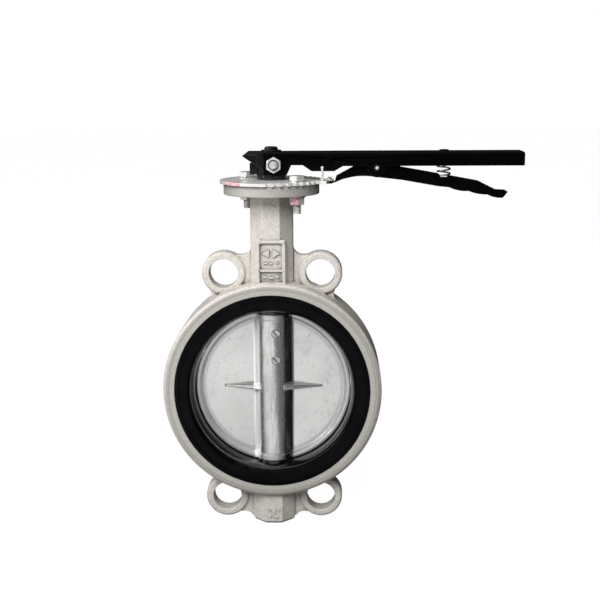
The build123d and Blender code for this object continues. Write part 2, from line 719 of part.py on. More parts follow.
def make_lever():
    """Pressed channel: side walls with saddle, stop lug and pivot ears, a top and a closed end."""
    lug_end = lug_start + lug_length
    step_bottom = lever_bottom + lever_step
    inner_middle = (lever_start + lever_end) / 2 - lever_sheet
    inner_depth = 2 * (lever_top - saddle_bottom)
    side = lever_width / 2
    with BuildPart() as lever:
        with BuildSketch(Plane.XZ):
            with BuildLine():
                Polyline(
                    (lever_start, lever_top), (lever_start, saddle_bottom), (saddle_end, saddle_bottom),
                    (saddle_end + lug_slope / 2, step_bottom), (lug_start - lug_slope, step_bottom),
                    (lug_start, lug_bottom), (lug_end, lug_bottom), (lug_end + lug_slope, lever_bottom),
                    (lever_end, lever_bottom), (lever_end, lever_top), close=True,
                )
            make_face()
            with Locations((pivot_x, pivot_z)):
                Circle(cheek_radius)
        extrude(amount=lever_width / 2, both=True)
        with BuildSketch(Plane.XZ):
            with Locations((inner_middle, lever_ceiling)):
                Rectangle(lever_end - lever_start, inner_depth, align=(Align.CENTER, Align.MAX))
        extrude(amount=channel_half, both=True, mode=Mode.SUBTRACT)
        long_edges = [e for e in lever.edges().filter_by(Axis.X)
                      if abs(e.center().Z - lever_top) < 0.01 and abs(abs(e.center().Y) - side) < 0.01]
        end_edges = [e for e in lever.edges() if abs(e.center().X - lever_end) < 0.01
                     and (abs(e.center().Z - lever_top) < 0.01 or abs(abs(e.center().Y) - side) < 0.01)]
        fillet(long_edges + end_edges, radius=lever_corner)
        with BuildSketch(Plane.XY.offset(lever_top)):
            Circle(screw_radius + free_gap)
            with Locations((spring_x, 0)):
                Circle(spring_rivet_radius + running_gap)
        extrude(amount=-2 * lever_sheet, mode=Mode.SUBTRACT)
        with BuildSketch(Plane.XZ.offset(lever_width)):
            with Locations((clamp_offset, clamp_height)):
                Circle(screw_radius + running_gap)
        extrude(amount=-lever_width, mode=Mode.SUBTRACT)
        with BuildSketch(Plane.XZ.offset(lever_width)):
            with Locations((pivot_x, pivot_z)):
                Circle(pivot_radius + running_gap)
            with Locations((spacer_x, spacer_z)):
                Circle(spacer_radius + running_gap)
        extrude(amount=-2 * lever_width, mode=Mode.SUBTRACT)
    lever.part.label = "lever"
    return lever.part


def make_cross_pin(label, x, z, radius):
    """Riveted pin across both side walls of the lever."""
    reach = lever_width / 2 + rest_gap
    with BuildPart() as pin:
        with BuildSketch(Plane.XZ):
            with Locations((x, z)):
                Circle(radius)
        extrude(amount=reach + rivet_head_height, both=True)
        for side in (-1, 1):
            with BuildSketch(Plane.XZ.offset(side * reach)):
                with Locations((x, z)):
                    Circle(radius + rivet_head_reach)
            extrude(amount=side * rivet_head_height, taper=25)
    pin.part.label = label
    return pin.part


def make_clamp_screw():
    """Grub screw through the side of the lever and its hub, onto a flat of the stem."""
    tail = nut_face - nut_height - clamp_screw_tail
    with BuildPart() as screw:
        with BuildSketch(Plane.XZ.offset(-tail)):
            with Locations((clamp_offset, clamp_height)):
                Circle(screw_radius)
        extrude(amount=tail + stem_square / 2 + rest_gap)
        with BuildSketch(Plane.XZ.offset(-tail)):
            with Locations((clamp_offset, clamp_height)):
                RegularPolygon(socket_radius, 6)
        extrude(amount=-socket_depth, mode=Mode.SUBTRACT)
    screw.part.label = "clamp_screw"
    return screw.part


def make_lock_nut():
    """Hexagon nut that locks the grub screw against the side of the lever."""
    with BuildPart() as nut:
        with BuildSketch(Plane.XZ.offset(-nut_face)):
            with Locations((clamp_offset, clamp_height)):
                RegularPolygon(hex_flats / 2, 6, major_radius=False, rotation=30)
                Circle(screw_radius + running_gap, mode=Mode.SUBTRACT)
        extrude(amount=nut_height)
    nut.part.label = "lock_nut"
    return nut.part


def make_top_washer():
    """Washer under the screw on top of the lever."""
    with BuildPart() as washer:
        with BuildSketch(Plane.XY.offset(lever_top + rest_gap)):
            Circle(top_washer_radius)
            Circle(screw_radius + running_gap, mode=Mode.SUBTRACT)
        extrude(amount=top_washer_thickness)
        chamfer(washer.edges().group_by(Axis.Z)[-1].sort_by(SortBy.LENGTH)[-1], length=0.5)
    washer.part.label = "top_washer"
    return washer.part


def make_top_screw():
    """Button head screw that holds the lever down on the stem."""
    head_bottom = lever_top + top_washer_thickness + 2 * rest_gap
    with BuildPart() as screw:
        with BuildSketch(Plane.XY.offset(head_bottom)):
            Circle(top_head_radius)
        extrude(amount=top_head_height)
        fillet(screw.edges().group_by(Axis.Z)[-1], radius=0.75 * top_head_height)
        with BuildSketch(Plane.XY.offset(head_bottom)):
            Circle(screw_radius)
        extrude(amount=-(head_bottom - stem_top + top_screw_length - 1.0))
        with BuildSketch(Plane.XY.offset(head_bottom + top_head_height)):
            RegularPolygon(top_socket_radius, 6)
        extrude(amount=-top_socket_depth, mode=Mode.SUBTRACT)
    screw.part.label = "top_screw"
    return screw.part


def make_trigger():
    """Squeeze lever: ledge for the latch tooth, arm, pivot boss, and a grip with finger hollows."""
    tip_x = trigger_tip_x - pivot_x
    ledge = tip_top - pivot_z
    with BuildPart() as trigger:
        with BuildSketch(Plane(origin=(pivot_x, 0, pivot_z), x_dir=(1, 0, 0), z_dir=(0, -1, 0))):
            with BuildLine():
                Polyline(
                    (tip_x + tip_length, ledge), (tip_x, ledge), (tip_x, ledge - tip_thickness),
                    (tip_x + 5, ledge - tip_thickness + 0.3), (-32, -11.2), (-22.5, -9.1),
                )
                ThreePointArc((-22.5, -9.1), (-12.5, -8.3), (-2.5, -9.1))
                Polyline((-2.5, -9.1), (23.5, -12.1), (57.5, -18.1), (67.5, -19.1))
                ThreePointArc((67.5, -19.1), (75.5, -21.9), (85.5, -22.6))
                ThreePointArc((85.5, -22.6), (93.5, -25.1), (103, -25.9))
                ThreePointArc((103, -25.9), (109, -28.3), (117.5, -28.9))
                Polyline((117.5, -28.9), (122, -23.5), (120, -22.1), (111, -21.6))
                Polyline((111, -21.6), (94.5, -13.3), (51.5, -5.3))
                Line((51.5, -5.3), (22.5, -0.1))
                ThreePointArc((22.5, -0.1), (0, 6.5), (-22.5, -0.1))
                Polyline((-22.5, -0.1), (-37.5, -8.3), (tip_x + tip_length, ledge))
            make_face()
        extrude(amount=trigger_width / 2, both=True)
        outline = [e for e in trigger.edges() if abs(abs(e.center().Y) - trigger_width / 2) < 0.01
                   and e.center().X > trigger_tip_x + tip_length + 2]
        fillet(outline, radius=trigger_rounding)
        with BuildSketch(Plane.XZ):
            with Locations((pivot_x, pivot_z)):
                Circle(pivot_boss_radius)
        extrude(amount=channel_half - free_gap, both=True)
        with BuildSketch(Plane.XZ):
            with Locations((pivot_x, pivot_z)):
                Circle(pivot_radius + running_gap)
        extrude(amount=lever_width, both=True, mode=Mode.SUBTRACT)
        with BuildSketch(Plane.XY.offset(tip_top - trigger_width)):
            with Locations((trigger_tip_x, 0)):
                Rectangle(tip_length, 2 * trigger_width, align=(Align.MIN, Align.CENTER))
                Rectangle(tip_length, tip_width, align=(Align.MIN, Align.CENTER), mode=Mode.SUBTRACT)
        extrude(amount=2 * trigger_width, mode=Mode.SUBTRACT)
        with BuildSketch(Plane.XY.offset(tip_top)):
            with Locations((latch_rivet_x, 0)):
                Circle(latch_rivet_radius + running_gap)
        extrude(amount=-2 * tip_thickness, mode=Mode.SUBTRACT)
        with BuildSketch(Plane.XY.offset(spring_seat_z)):
            with Locations((spring_x, 0)):
                Circle(spring_radius + free_gap)
        extrude(amount=lever_top - spring_seat_z, mode=Mode.SUBTRACT)
    trigger.part.label = "trigger"
    return trigger.part


def make_latch_tooth():
    """Steel tooth on the tip of the trigger, level with the notches of the plate."""
    with BuildPart() as tooth:
        with BuildSketch(Plane.XY.offset(tip_top + rest_gap)):
            with Locations((latch_tip_x, 0)):
                Rectangle(tooth_overhang + tip_length - 1, latch_width, align=(Align.MIN, Align.CENTER))
            with Locations((latch_rivet_x, 0)):
                Circle(latch_head_radius + latch_border)
                Circle(latch_rivet_radius + running_gap, mode=Mode.SUBTRACT)
        extrude(amount=latch_thickness)
    tooth.part.label = "latch_tooth"
    return tooth.part


def make_latch_rivet():
    """Rivet that holds the latch tooth down on the trigger."""
    seat_height = tip_top + rest_gap + latch_thickness + rest_gap
    with BuildPart() as rivet:
        with BuildSketch(Plane.XY.offset(seat_height)):
            with Locations((latch_rivet_x, 0)):
                Circle(latch_head_radius)
        extrude(amount=latch_head_height, taper=20)
        with BuildSketch(Plane.XY.offset(seat_height)):
            with Locations((latch_rivet_x, 0)):
                Circle(latch_rivet_radius)
        extrude(amount=-(latch_thickness + tip_thickness))
    rivet.part.label = "latch_rivet"
    return rivet.part


def make_return_spring():
    """Outer shape of the coil between the lever and the trigger."""
    with BuildPart() as spring:
        with BuildSketch(Plane.XY.offset(spring_seat_z + rest_gap)):
            with Locations((spring_x, 0)):
                Circle(spring_radius)
                Circle(spring_radius - spring_wire, mode=Mode.SUBTRACT)
        extrude(amount=lever_ceiling - spring_seat_z - 2 * rest_gap)
    spring.part.label = "return_spring"
    return spring.part


def make_spring_rivet():
    """Rivet through the top of the lever, whose shank centres the spring."""
    with BuildPart() as rivet:
        with BuildSketch(Plane.XY.offset(lever_top + rest_gap)):
            with Locations((spring_x, 0)):
                Circle(spring_head_radius)
        extrude(amount=spring_head_height, taper=30)
        with BuildSketch(Plane.XY.offset(lever_top + 2 * rest_gap)):
            with Locations((spring_x, 0)):
                Circle(spring_rivet_radius)
        extrude(amount=-(lever_sheet + spring_rivet_length))
    rivet.part.label = "spring_rivet"
    return rivet.part


pieces = [
    make_body(),
    make_seat(),
    make_disc(),
    make_disc_pins(),
    make_stem(),
    make_sleeve("upper_bushing", upper_bushing_top - upper_bushing_length, upper_bushing_length),
    make_sleeve("middle_bushing", neck_step + rest_gap, middle_bushing_length),
    make_sleeve("lower_bushing", lower_bushing_bottom, lower_bushing_length),
    make_seal_rings(),
    make_thrust_washer(),
    make_retaining_ring(),
    make_notch_plate(),
    make_stop_pins(),
    make_plate_screws(),
    make_plate_washers(),
    make_plate_nuts(),
    make_lever_hub(),
    make_lever(),
    make_cross_pin("spacer_rivet", spacer_x, spacer_z, spacer_radius),
    make_cross_pin("trigger_pin", pivot_x, pivot_z, pivot_radius),
    make_clamp_screw(),
    make_lock_nut(),
    make_top_washer(),
    make_top_screw(),
    make_trigger(),
    make_latch_tooth(),
    make_latch_rivet(),
    make_return_spring(),
    make_spring_rivet(),
]

os.makedirs("parts", exist_ok=True)
for piece in pieces:
    export_step(piece, f"parts/{piece.label}.step")
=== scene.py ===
"""Finished look of a lever operated wafer butterfly valve.

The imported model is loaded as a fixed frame. Each sub-assembly of the valve is a class that dresses its
own pieces or remodels them on top of the frame, and every finish is a small frozen class that builds
one material. Sizes are metres; +Z runs up the stem, +Y along the pipe, +X towards the lever's grip.
"""

import json
import logging
import math
from collections.abc import Callable
from dataclasses import dataclass
from enum import Enum

import bpy
from mathutils import Matrix, Vector

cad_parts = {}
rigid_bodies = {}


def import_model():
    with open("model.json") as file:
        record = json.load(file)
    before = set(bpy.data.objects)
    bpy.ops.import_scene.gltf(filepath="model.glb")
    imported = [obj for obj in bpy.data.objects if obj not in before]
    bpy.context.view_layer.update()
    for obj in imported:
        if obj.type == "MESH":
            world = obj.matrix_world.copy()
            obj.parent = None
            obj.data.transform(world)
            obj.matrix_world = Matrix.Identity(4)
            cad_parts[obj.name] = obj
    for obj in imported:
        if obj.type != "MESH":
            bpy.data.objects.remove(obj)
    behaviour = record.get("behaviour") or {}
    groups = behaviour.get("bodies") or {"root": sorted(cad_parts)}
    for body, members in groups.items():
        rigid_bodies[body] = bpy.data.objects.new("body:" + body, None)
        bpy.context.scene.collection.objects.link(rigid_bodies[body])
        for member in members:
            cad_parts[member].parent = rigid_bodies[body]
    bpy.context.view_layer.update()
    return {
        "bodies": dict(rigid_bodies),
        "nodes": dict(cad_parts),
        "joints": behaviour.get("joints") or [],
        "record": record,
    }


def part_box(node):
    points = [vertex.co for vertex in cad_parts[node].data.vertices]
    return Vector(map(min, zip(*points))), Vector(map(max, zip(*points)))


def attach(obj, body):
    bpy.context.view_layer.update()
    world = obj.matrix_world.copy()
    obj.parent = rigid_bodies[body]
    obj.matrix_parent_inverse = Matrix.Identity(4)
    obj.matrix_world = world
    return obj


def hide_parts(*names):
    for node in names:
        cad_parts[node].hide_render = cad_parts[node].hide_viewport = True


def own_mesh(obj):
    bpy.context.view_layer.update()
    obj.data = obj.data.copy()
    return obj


LOG = logging.getLogger("butterfly_valve")
MM = 0.001
QUARTER = math.pi / 2
Point = tuple[float, float, float]
Colour = tuple[float, float, float, float]
Piece = bpy.types.Object
Socket = bpy.types.NodeSocket
Inputs = bpy.types.NodeInputs
Feeds = dict[int | str, object]
ORIGIN: Point = (0.0, 0.0, 0.0)


class Axis(Enum):
    """Direction that a turned piece points in, as the turn that takes +Z there."""

    UP = (0.0, 0.0, 0.0)
    FRONT = (QUARTER, 0.0, 0.0)


# ------------------------------------------------------------------ modelling


class Bench:
    """Modelling steps that every sub-assembly shares."""

    @staticmethod
    def clear() -> None:
        """Deselects everything and leaves no object active."""
        bpy.ops.object.select_all(action="DESELECT")
        bpy.context.view_layer.objects.active = None

    @staticmethod
    def pick(*pieces: Piece) -> None:
        """Selects only these pieces and makes the first one active."""
        Bench.clear()
        for piece in pieces:
            piece.select_set(True)
        bpy.context.view_layer.objects.active = pieces[0]

    @staticmethod
    def made(name: str) -> Piece:
        """Names the object that was added last and returns it."""
        piece = bpy.context.view_layer.objects.active
        piece.name = name
        return piece

    @staticmethod
    def change(piece: Piece, kind: str, **settings: object) -> None:
        """Adds a modifier to a piece and applies it.

        Args:
            piece: the object to change.
            kind: type of the modifier.
            settings: attributes of the modifier.
        """
        step = piece.modifiers.new(kind, kind)
        for key, value in settings.items():
            setattr(step, key, value)
        Bench.pick(piece)
        bpy.ops.object.modifier_apply(modifier=step.name)

    @staticmethod
    def settle(piece: Piece, **place: Point) -> Piece:
        """Moves a piece's place, turn and scale into its mesh.

        Args:
            piece: the object to settle.
            place: the location, rotation_euler or scale that it gets first.

        Returns:
            The same object.
        """
        for key, value in place.items():
            setattr(piece, key, value)
        Bench.pick(piece)
        bpy.ops.object.transform_apply(location=True, rotation=True, scale=True)
        return piece

    @staticmethod
    def edit(piece: Piece, work: Callable[[], None], chosen: str = "SELECT") -> None:
        """Runs one piece of work in edit mode.

        Args:
            piece: the object to edit.
            work: what is done while in edit mode.
            chosen: SELECT takes the whole mesh, DESELECT none of it.
        """
        Bench.pick(piece)
        bpy.ops.object.mode_set(mode="EDIT")
        bpy.ops.mesh.select_all(action=chosen)
        work()
        bpy.ops.object.mode_set(mode="OBJECT")

    @staticmethod
    def bevel(piece: Piece, width: float, segments: int, angle: float) -> None:
        """Rounds the edges of a piece that are sharper than an angle.

        Args:
            piece: the object to round.
            width: size of the rounding.
            segments: faces across the rounding.
            angle: smallest edge angle that is rounded, in degrees.
        """
        Bench.change(
            piece, "BEVEL", width=width, segments=segments, limit_method="ANGLE",
            angle_limit=math.radians(angle), use_clamp_overlap=False, harden_normals=False,
        )

    @staticmethod
    def smooth(piece: Piece, angle: float = 32.0) -> None:
        """Shades a piece smooth across edges flatter than an angle, in degrees."""
        Bench.pick(piece)
        bpy.ops.object.shade_smooth_by_angle(angle=math.radians(angle))
        Bench.change(piece, "WEIGHTED_NORMAL", mode="FACE_AREA", weight=80, keep_sharp=True)

    @staticmethod
    def join(name: str, pieces: list[Piece]) -> Piece:
        """Joins pieces into one object.

        Args:
            name: name of the joined object.
            pieces: the objects to join; the first one's settings are kept.

        Returns:
            The joined object.
        """
        Bench.pick(*pieces)
        if len(pieces) > 1:
            bpy.ops.object.join()
        return Bench.made(name)

    @staticmethod
    def copy(piece: Piece, location: Point) -> Piece:
        """Copies a piece with its own mesh and moves the copy.

        Args:
            piece: the object to copy.
            location: how far the copy is moved.

        Returns:
            The copy, with its place in its mesh.
        """
        Bench.pick(piece)
        bpy.ops.object.duplicate(linked=False)
        return Bench.settle(Bench.made(piece.name), location=location)

    @staticmethod
    def refined(node: Piece, name: str, width: float, segments: int = 2, angle: float = 28.0) -> Piece:
        """Makes a finished copy of a frame node: merged, with rounded edges.

        Args:
            node: the frame node that is copied.
            name: name of the new piece.
            width: size of the rounding.
            segments: faces across the rounding.
            angle: smallest edge angle that is rounded, in degrees.

        Returns:
            The finished copy.
        """
        Bench.pick(node)
        bpy.ops.object.duplicate(linked=False)
        piece = Bench.made(name)
        for key in list(piece.keys()):
            del piece[key]
        piece.parent = None
        piece.matrix_world = Matrix.Identity(4)
        piece.data.materials.clear()
        bpy.ops.mesh.customdata_custom_splitnormals_clear()
        Bench.edit(piece, lambda: bpy.ops.mesh.remove_doubles(threshold=0.004 * MM))
        if width > 0.0:
            Bench.bevel(piece, width, segments, angle)
        Bench.smooth(piece)
        return piece

    @staticmethod
    def cylinder(
        name: str, radius: float, length: float, location: Point, axis: Axis = Axis.UP, sides: int = 48
    ) -> Piece:
        """Adds a cylinder whose place is in its mesh.

        Args:
            name: name of the object.
            radius: its radius.
            length: its length.
            location: its centre.
            axis: direction of its axis.
            sides: number of sides.

        Returns:
            The new object.
        """
        Bench.clear()
        bpy.ops.mesh.primitive_cylinder_add(
            vertices=sides, radius=radius, depth=length, location=location, rotation=axis.value
        )
        return Bench.settle(Bench.made(name))

    @staticmethod
    def block(
        name: str, size: Point, location: Point, turn: float = 0.0, rounding: float = 0.3 * MM
    ) -> Piece:
        """Adds a small block with rounded edges.

        Args:
            name: name of the object.
            size: its three sides.
            location: its centre.
            turn: how far it leans in the front's plane, in radians.
            rounding: size of the rounding on its edges.

        Returns:
            The new object.
        """
        Bench.clear()
        bpy.ops.mesh.primitive_cube_add(size=1.0, location=location, rotation=(0.0, turn, 0.0))
        piece = Bench.settle(Bench.made(name), scale=size)
        Bench.bevel(piece, rounding, 2, 40.0)
        return piece

    @staticmethod
    def combine(piece: Piece, tool: Piece, operation: str) -> None:
        """Joins a tool into a piece, cuts it out, or keeps what they share, and throws it away.

        Args:
            piece: the object that is kept.
            tool: the object that is used up.
            operation: UNION, DIFFERENCE or INTERSECT.
        """
        Bench.change(piece, "BOOLEAN", operation=operation, solver="EXACT", object=tool)
        bpy.data.objects.remove(tool)

    @staticmethod
    def coil(
        name: str, wire: float, radius: float, pitch: float, turns: float, sides: int, steps: int
    ) -> Piece:
        """Winds a wire round +Z, from its start at +X on the origin's level.

        Args:
            name: name of the object.
            wire: radius of the wire.
            radius: radius of the coil at the middle of its wire.
            pitch: rise per turn.
            turns: number of turns.
            sides: sides of the wire; 3 gives the crest of a thread.
            steps: steps per turn.

        Returns:
            The closed coil.
        """
        Bench.clear()
        bpy.ops.mesh.primitive_circle_add(
            vertices=sides, radius=wire, location=(radius, 0.0, 0.0), rotation=Axis.FRONT.value
        )
        piece = Bench.settle(Bench.made(name))
        count = round(steps * turns)
        Bench.change(
            piece, "SCREW", axis="Z", angle=2.0 * math.pi * turns, screw_offset=pitch * turns,
            iterations=1, steps=count, render_steps=count, use_merge_vertices=False,
        )

        def close() -> None:
            """Fills both ends and points the faces outwards."""
            bpy.ops.mesh.fill_holes(sides=0)
            bpy.ops.mesh.select_all(action="SELECT")
            bpy.ops.mesh.normals_make_consistent(inside=False)

        Bench.edit(piece, close)
        return piece


# ------------------------------------------------------------------ shader groups


class Sheet:
    """Adds and links the nodes of one node tree. Every input takes a socket or a plain value."""

    def __init__(self, tree: bpy.types.NodeTree) -> None:
        """Keeps the tree that nodes are added to."""
        self.tree = tree

    def feed(self, target: Socket, source: object) -> None:
        """Links a source to an input, or sets the input to a plain value."""
        if isinstance(source, Socket):
            self.tree.links.new(source, target)
        else:
            target.default_value = source

    def add(self, kind: str, feeds: Feeds | None = None, **settings: object) -> bpy.types.Node:
        """Adds a node.

        Args:
            kind: type of the node, without its leading ShaderNode.
            feeds: what its inputs get.
            settings: attributes of the node.

        Returns:
            The new node.
        """
        family = "NodeGroup" if kind in ("Input", "Output") else "ShaderNode"
        node = self.tree.nodes.new(family + kind)
        node.location = (220.0 * len(self.tree.nodes), 0.0)
        for key, value in settings.items():
            setattr(node, key, value)
        for key, source in (feeds or {}).items():
            self.feed(node.inputs[key], source)
        return node

    def maths(self, operation: str, first: object, second: object = 0.0, clamp: bool = False) -> Socket:
        """Adds a Math node, whose result can be kept between 0 and 1, and returns its output."""
        return self.add("Math", {0: first, 1: second}, operation=operation, use_clamp=clamp).outputs[0]

    def times(self, first: object, second: object, clamp: bool = False) -> Socket:
        """Multiplies two inputs."""
        return self.maths("MULTIPLY", first, second, clamp)

    def most(self, first: object, second: object) -> Socket:
        """Gives the larger of two inputs."""
        return self.maths("MAXIMUM", first, second)

    def size(self, source: Socket) -> Socket:
        """Gives a value without its sign."""
        return self.maths("ABSOLUTE", source)

    def total(self, start: object, *terms: tuple[Socket, float], clamp: bool = False) -> Socket:
        """Adds weighted terms to a start.

        Args:
            start: the first input.
            terms: each further input with its weight.
            clamp: keeps the result between 0 and 1.

        Returns:
            The total.
        """
        for source, weight in terms:
            start = self.maths("ADD", start, self.times(source, weight), clamp)
        return start

    def ramp(self, source: Socket, low: float, high: float, first: float = 0.0, last: float = 1.0) -> Socket:
        """Maps a range of values smoothly onto another.

        Args:
            source: the value that is mapped.
            low: value that becomes first.
            high: value that becomes last.
            first: result at low.
            last: result at high.

        Returns:
            The mapped value.
        """
        feeds = {0: source, 1: low, 2: high, 3: first, 4: last}
        return self.add("MapRange", feeds, interpolation_type="SMOOTHSTEP").outputs[0]

    def fade(self, source: Socket, low: float, high: float) -> Socket:
        """Masks the values under a limit: 1 at low, 0 at high."""
        return self.ramp(source, low, high, 1.0, 0.0)

    def band(self, source: Socket, start: float, full: float, wane: float, end: float) -> Socket:
        """Masks the values between two limits, each with a soft edge: full from full to wane."""
        return self.times(self.ramp(source, start, full), self.fade(source, wane, end))

    def mix(self, factor: object, first: object, second: object) -> Socket:
        """Mixes two colours, the factor being the share of the second."""
        return self.add("Mix", {0: factor, 6: first, 7: second}, data_type="RGBA").outputs[2]

    def stain(self, tone: Socket, mask: Socket, colour: object, share: float = 1.0) -> Socket:
        """Covers a colour where a mask is.

        Args:
            tone: the colour so far.
            mask: where it is covered.
            colour: what covers it.
            share: how far the mask covers it.

        Returns:
            The new colour.
        """
        return self.mix(mask if share == 1.0 else self.times(mask, share), tone, colour)

    def noise(self, vector: Socket, scale: object, detail: float = 3.0, roughness: float = 0.55) -> Socket:
        """Adds a noise texture.

        Args:
            vector: its coordinates.
            scale: its scale, per metre.
            detail: its octaves.
            roughness: strength of the finer octaves.

        Returns:
            Its value.
        """
        feeds = {"Vector": vector, "Scale": scale, "Detail": detail, "Roughness": roughness}
        return self.add("TexNoise", feeds).outputs[0]

    def stretched(self, vector: Socket, scale: Point) -> Socket:
        """Scales coordinates along each axis."""
        return self.add("Mapping", {"Vector": vector, "Scale": scale}).outputs[0]

    def split(self, vector: Socket) -> tuple[Socket, ...]:
        """Gives the three parts of a vector."""
        return tuple(self.add("SeparateXYZ", {0: vector}).outputs)

    def radius(self, across: Socket, upward: Socket) -> Socket:
        """Gives the distance from an axis, from two distances square to it."""
        squares = [self.maths("POWER", part, 2.0) for part in (across, upward)]
        return self.maths("SQRT", self.maths("ADD", *squares))

    def group(self, name: str, **feeds: object) -> bpy.types.NodeOutputs:
        """Places a shared node group.

        Args:
            name: name of the group.
            feeds: its inputs by name.

        Returns:
            The group's outputs.
        """
        return self.add("Group", feeds, node_tree=bpy.data.node_groups[name]).outputs


class Groups:
    """Effects that several finishes share, each built once as a node group."""

    @staticmethod
    def start(name: str, results: tuple[str, ...], **inputs: float | None) -> tuple[Sheet, object, object]:
        """Starts a group with named sockets.

        Args:
            name: name of the group.
            results: its outputs, all of them numbers.
            inputs: each input's value at rest, or None for a vector.

        Returns:
            The group's sheet, what it is given and its results.
        """
        tree = bpy.data.node_groups.new(name, "ShaderNodeTree")
        for key, rest in inputs.items():
            kind = "NodeSocketVector" if rest is None else "NodeSocketFloat"
            socket = tree.interface.new_socket(name=key, in_out="INPUT", socket_type=kind)
            if rest is not None:
                socket.default_value = rest
        for key in results:
            tree.interface.new_socket(name=key, in_out="OUTPUT", socket_type="NodeSocketFloat")
        sheet = Sheet(tree)
        return sheet, sheet.add("Input").outputs, sheet.add("Output").inputs

    @classmethod
    def build(cls) -> None:
        """Builds every shared group."""
        cls.cast_skin()
        cls.edge_wear()
        cls.hollow_shade_group()
        cls.settled_dust()
        cls.fine_grain()
        cls.paint_dab()

    @classmethod
    def cast_skin(cls) -> None:
        """Sand texture of a casting, with slow waves and scattered pits."""
        sheet, given, result = cls.start(
            "Cast Skin", ("Height", "Pit", "Tone"), Vector=None, Grain=900.0, Waves=60.0, Pits=0.5
        )
        place = given["Vector"]
        sand = sheet.noise(place, given["Grain"], 4.0, 0.62)
        waves = sheet.noise(place, given["Waves"], 3.0, 0.5)
        spacing = {"Vector": place, "Scale": sheet.times(given["Grain"], 0.42)}
        cells = sheet.add("TexVoronoi", spacing, feature="F1")
        hole = sheet.fade(cells.outputs["Distance"], 0.16, 0.34)
        sparse = sheet.ramp(sheet.noise(place, 160.0, 2.0, 0.5), 0.52, 0.66)
        pit = sheet.times(sheet.times(hole, sparse), given["Pits"], clamp=True)
        sheet.feed(result["Pit"], pit)
        sheet.feed(result["Height"], sheet.total(sheet.times(sand, 0.45), (waves, 0.7), (pit, -0.55)))
        blend = sheet.total(sheet.times(sand, 0.5), (waves, 0.5))
        sheet.feed(result["Tone"], sheet.ramp(blend, 0.34, 0.66))

    @classmethod
    def edge_wear(cls) -> None:
        """Mask of rubbed edges: where a rounded normal leaves the surface's own."""
        sheet, given, result = cls.start("Edge Wear", ("Mask",), Vector=None, Amount=4.0, Breakup=300.0)
        rounded = sheet.add("Bevel", {"Radius": 1.0 * MM}, samples=4).outputs[0]
        normal = sheet.add("NewGeometry").outputs["Normal"]
        agree = sheet.add("VectorMath", {0: rounded, 1: normal}, operation="DOT_PRODUCT").outputs["Value"]
        strong = sheet.times(sheet.maths("SUBTRACT", 1.0, agree), given["Amount"])
        rough = sheet.ramp(sheet.noise(given["Vector"], given["Breakup"], 4.0, 0.6), 0.35, 0.6)
        sheet.feed(result["Mask"], sheet.times(strong, rough, clamp=True))

    @classmethod
    def hollow_shade_group(cls) -> None:
        """Mask of painted shade in hollows and inside corners, from ambient occlusion."""
        sheet, given, result = cls.start("Hollow Shade", ("Mask",), Distance=0.006, Amount=1.0)
        shade = sheet.add("AmbientOcclusion", {"Distance": given["Distance"]}, samples=6).outputs["AO"]
        sheet.feed(result["Mask"], sheet.times(sheet.fade(shade, 0.25, 0.85), given["Amount"], clamp=True))

    @classmethod
    def settled_dust(cls) -> None:
        """Mask of dust that lies on faces that look up."""
        sheet, given, result = cls.start("Settled Dust", ("Mask",), Vector=None, Amount=0.2)
        upward = sheet.ramp(sheet.split(sheet.add("NewGeometry").outputs["Normal"])[2], 0.55, 0.98)
        patches = sheet.ramp(sheet.noise(given["Vector"], 90.0, 5.0, 0.6), 0.38, 0.7)
        sheet.feed(result["Mask"], sheet.times(sheet.times(upward, patches), given["Amount"], clamp=True))

    @classmethod
    def fine_grain(cls) -> None:
        """Fine marks, and broad clouds in the same coordinates."""
        sheet, given, result = cls.start("Fine Grain", ("Fine", "Broad"), Vector=None, Scale=800.0, Slow=40.0)
        sheet.feed(result["Fine"], sheet.noise(given["Vector"], given["Scale"], 3.0, 0.6))
        sheet.feed(result["Broad"], sheet.noise(given["Vector"], given["Slow"]))

    @classmethod
    def paint_dab(cls) -> None:
        """Mask of a dab of marking paint round one place."""
        sheet, given, result = cls.start("Paint Dab", ("Mask",), Vector=None, Place=None, Radius=0.006)
        ends = {0: given["Vector"], 1: given["Place"]}
        gap = sheet.add("VectorMath", ends, operation="DISTANCE").outputs["Value"]
        ragged = sheet.times(sheet.noise(given["Vector"], 420.0, 3.0, 0.6), 0.9)
        reach = sheet.times(given["Radius"], sheet.maths("ADD", ragged, 0.6))
        sheet.feed(result["Mask"], sheet.fade(sheet.maths("DIVIDE", gap, reach), 0.85, 1.05))


# ------------------------------------------------------------------ finishes

PALE: Colour = (0.93, 0.93, 0.92, 1.0)
WORN: Colour = (0.95, 0.95, 0.94, 1.0)


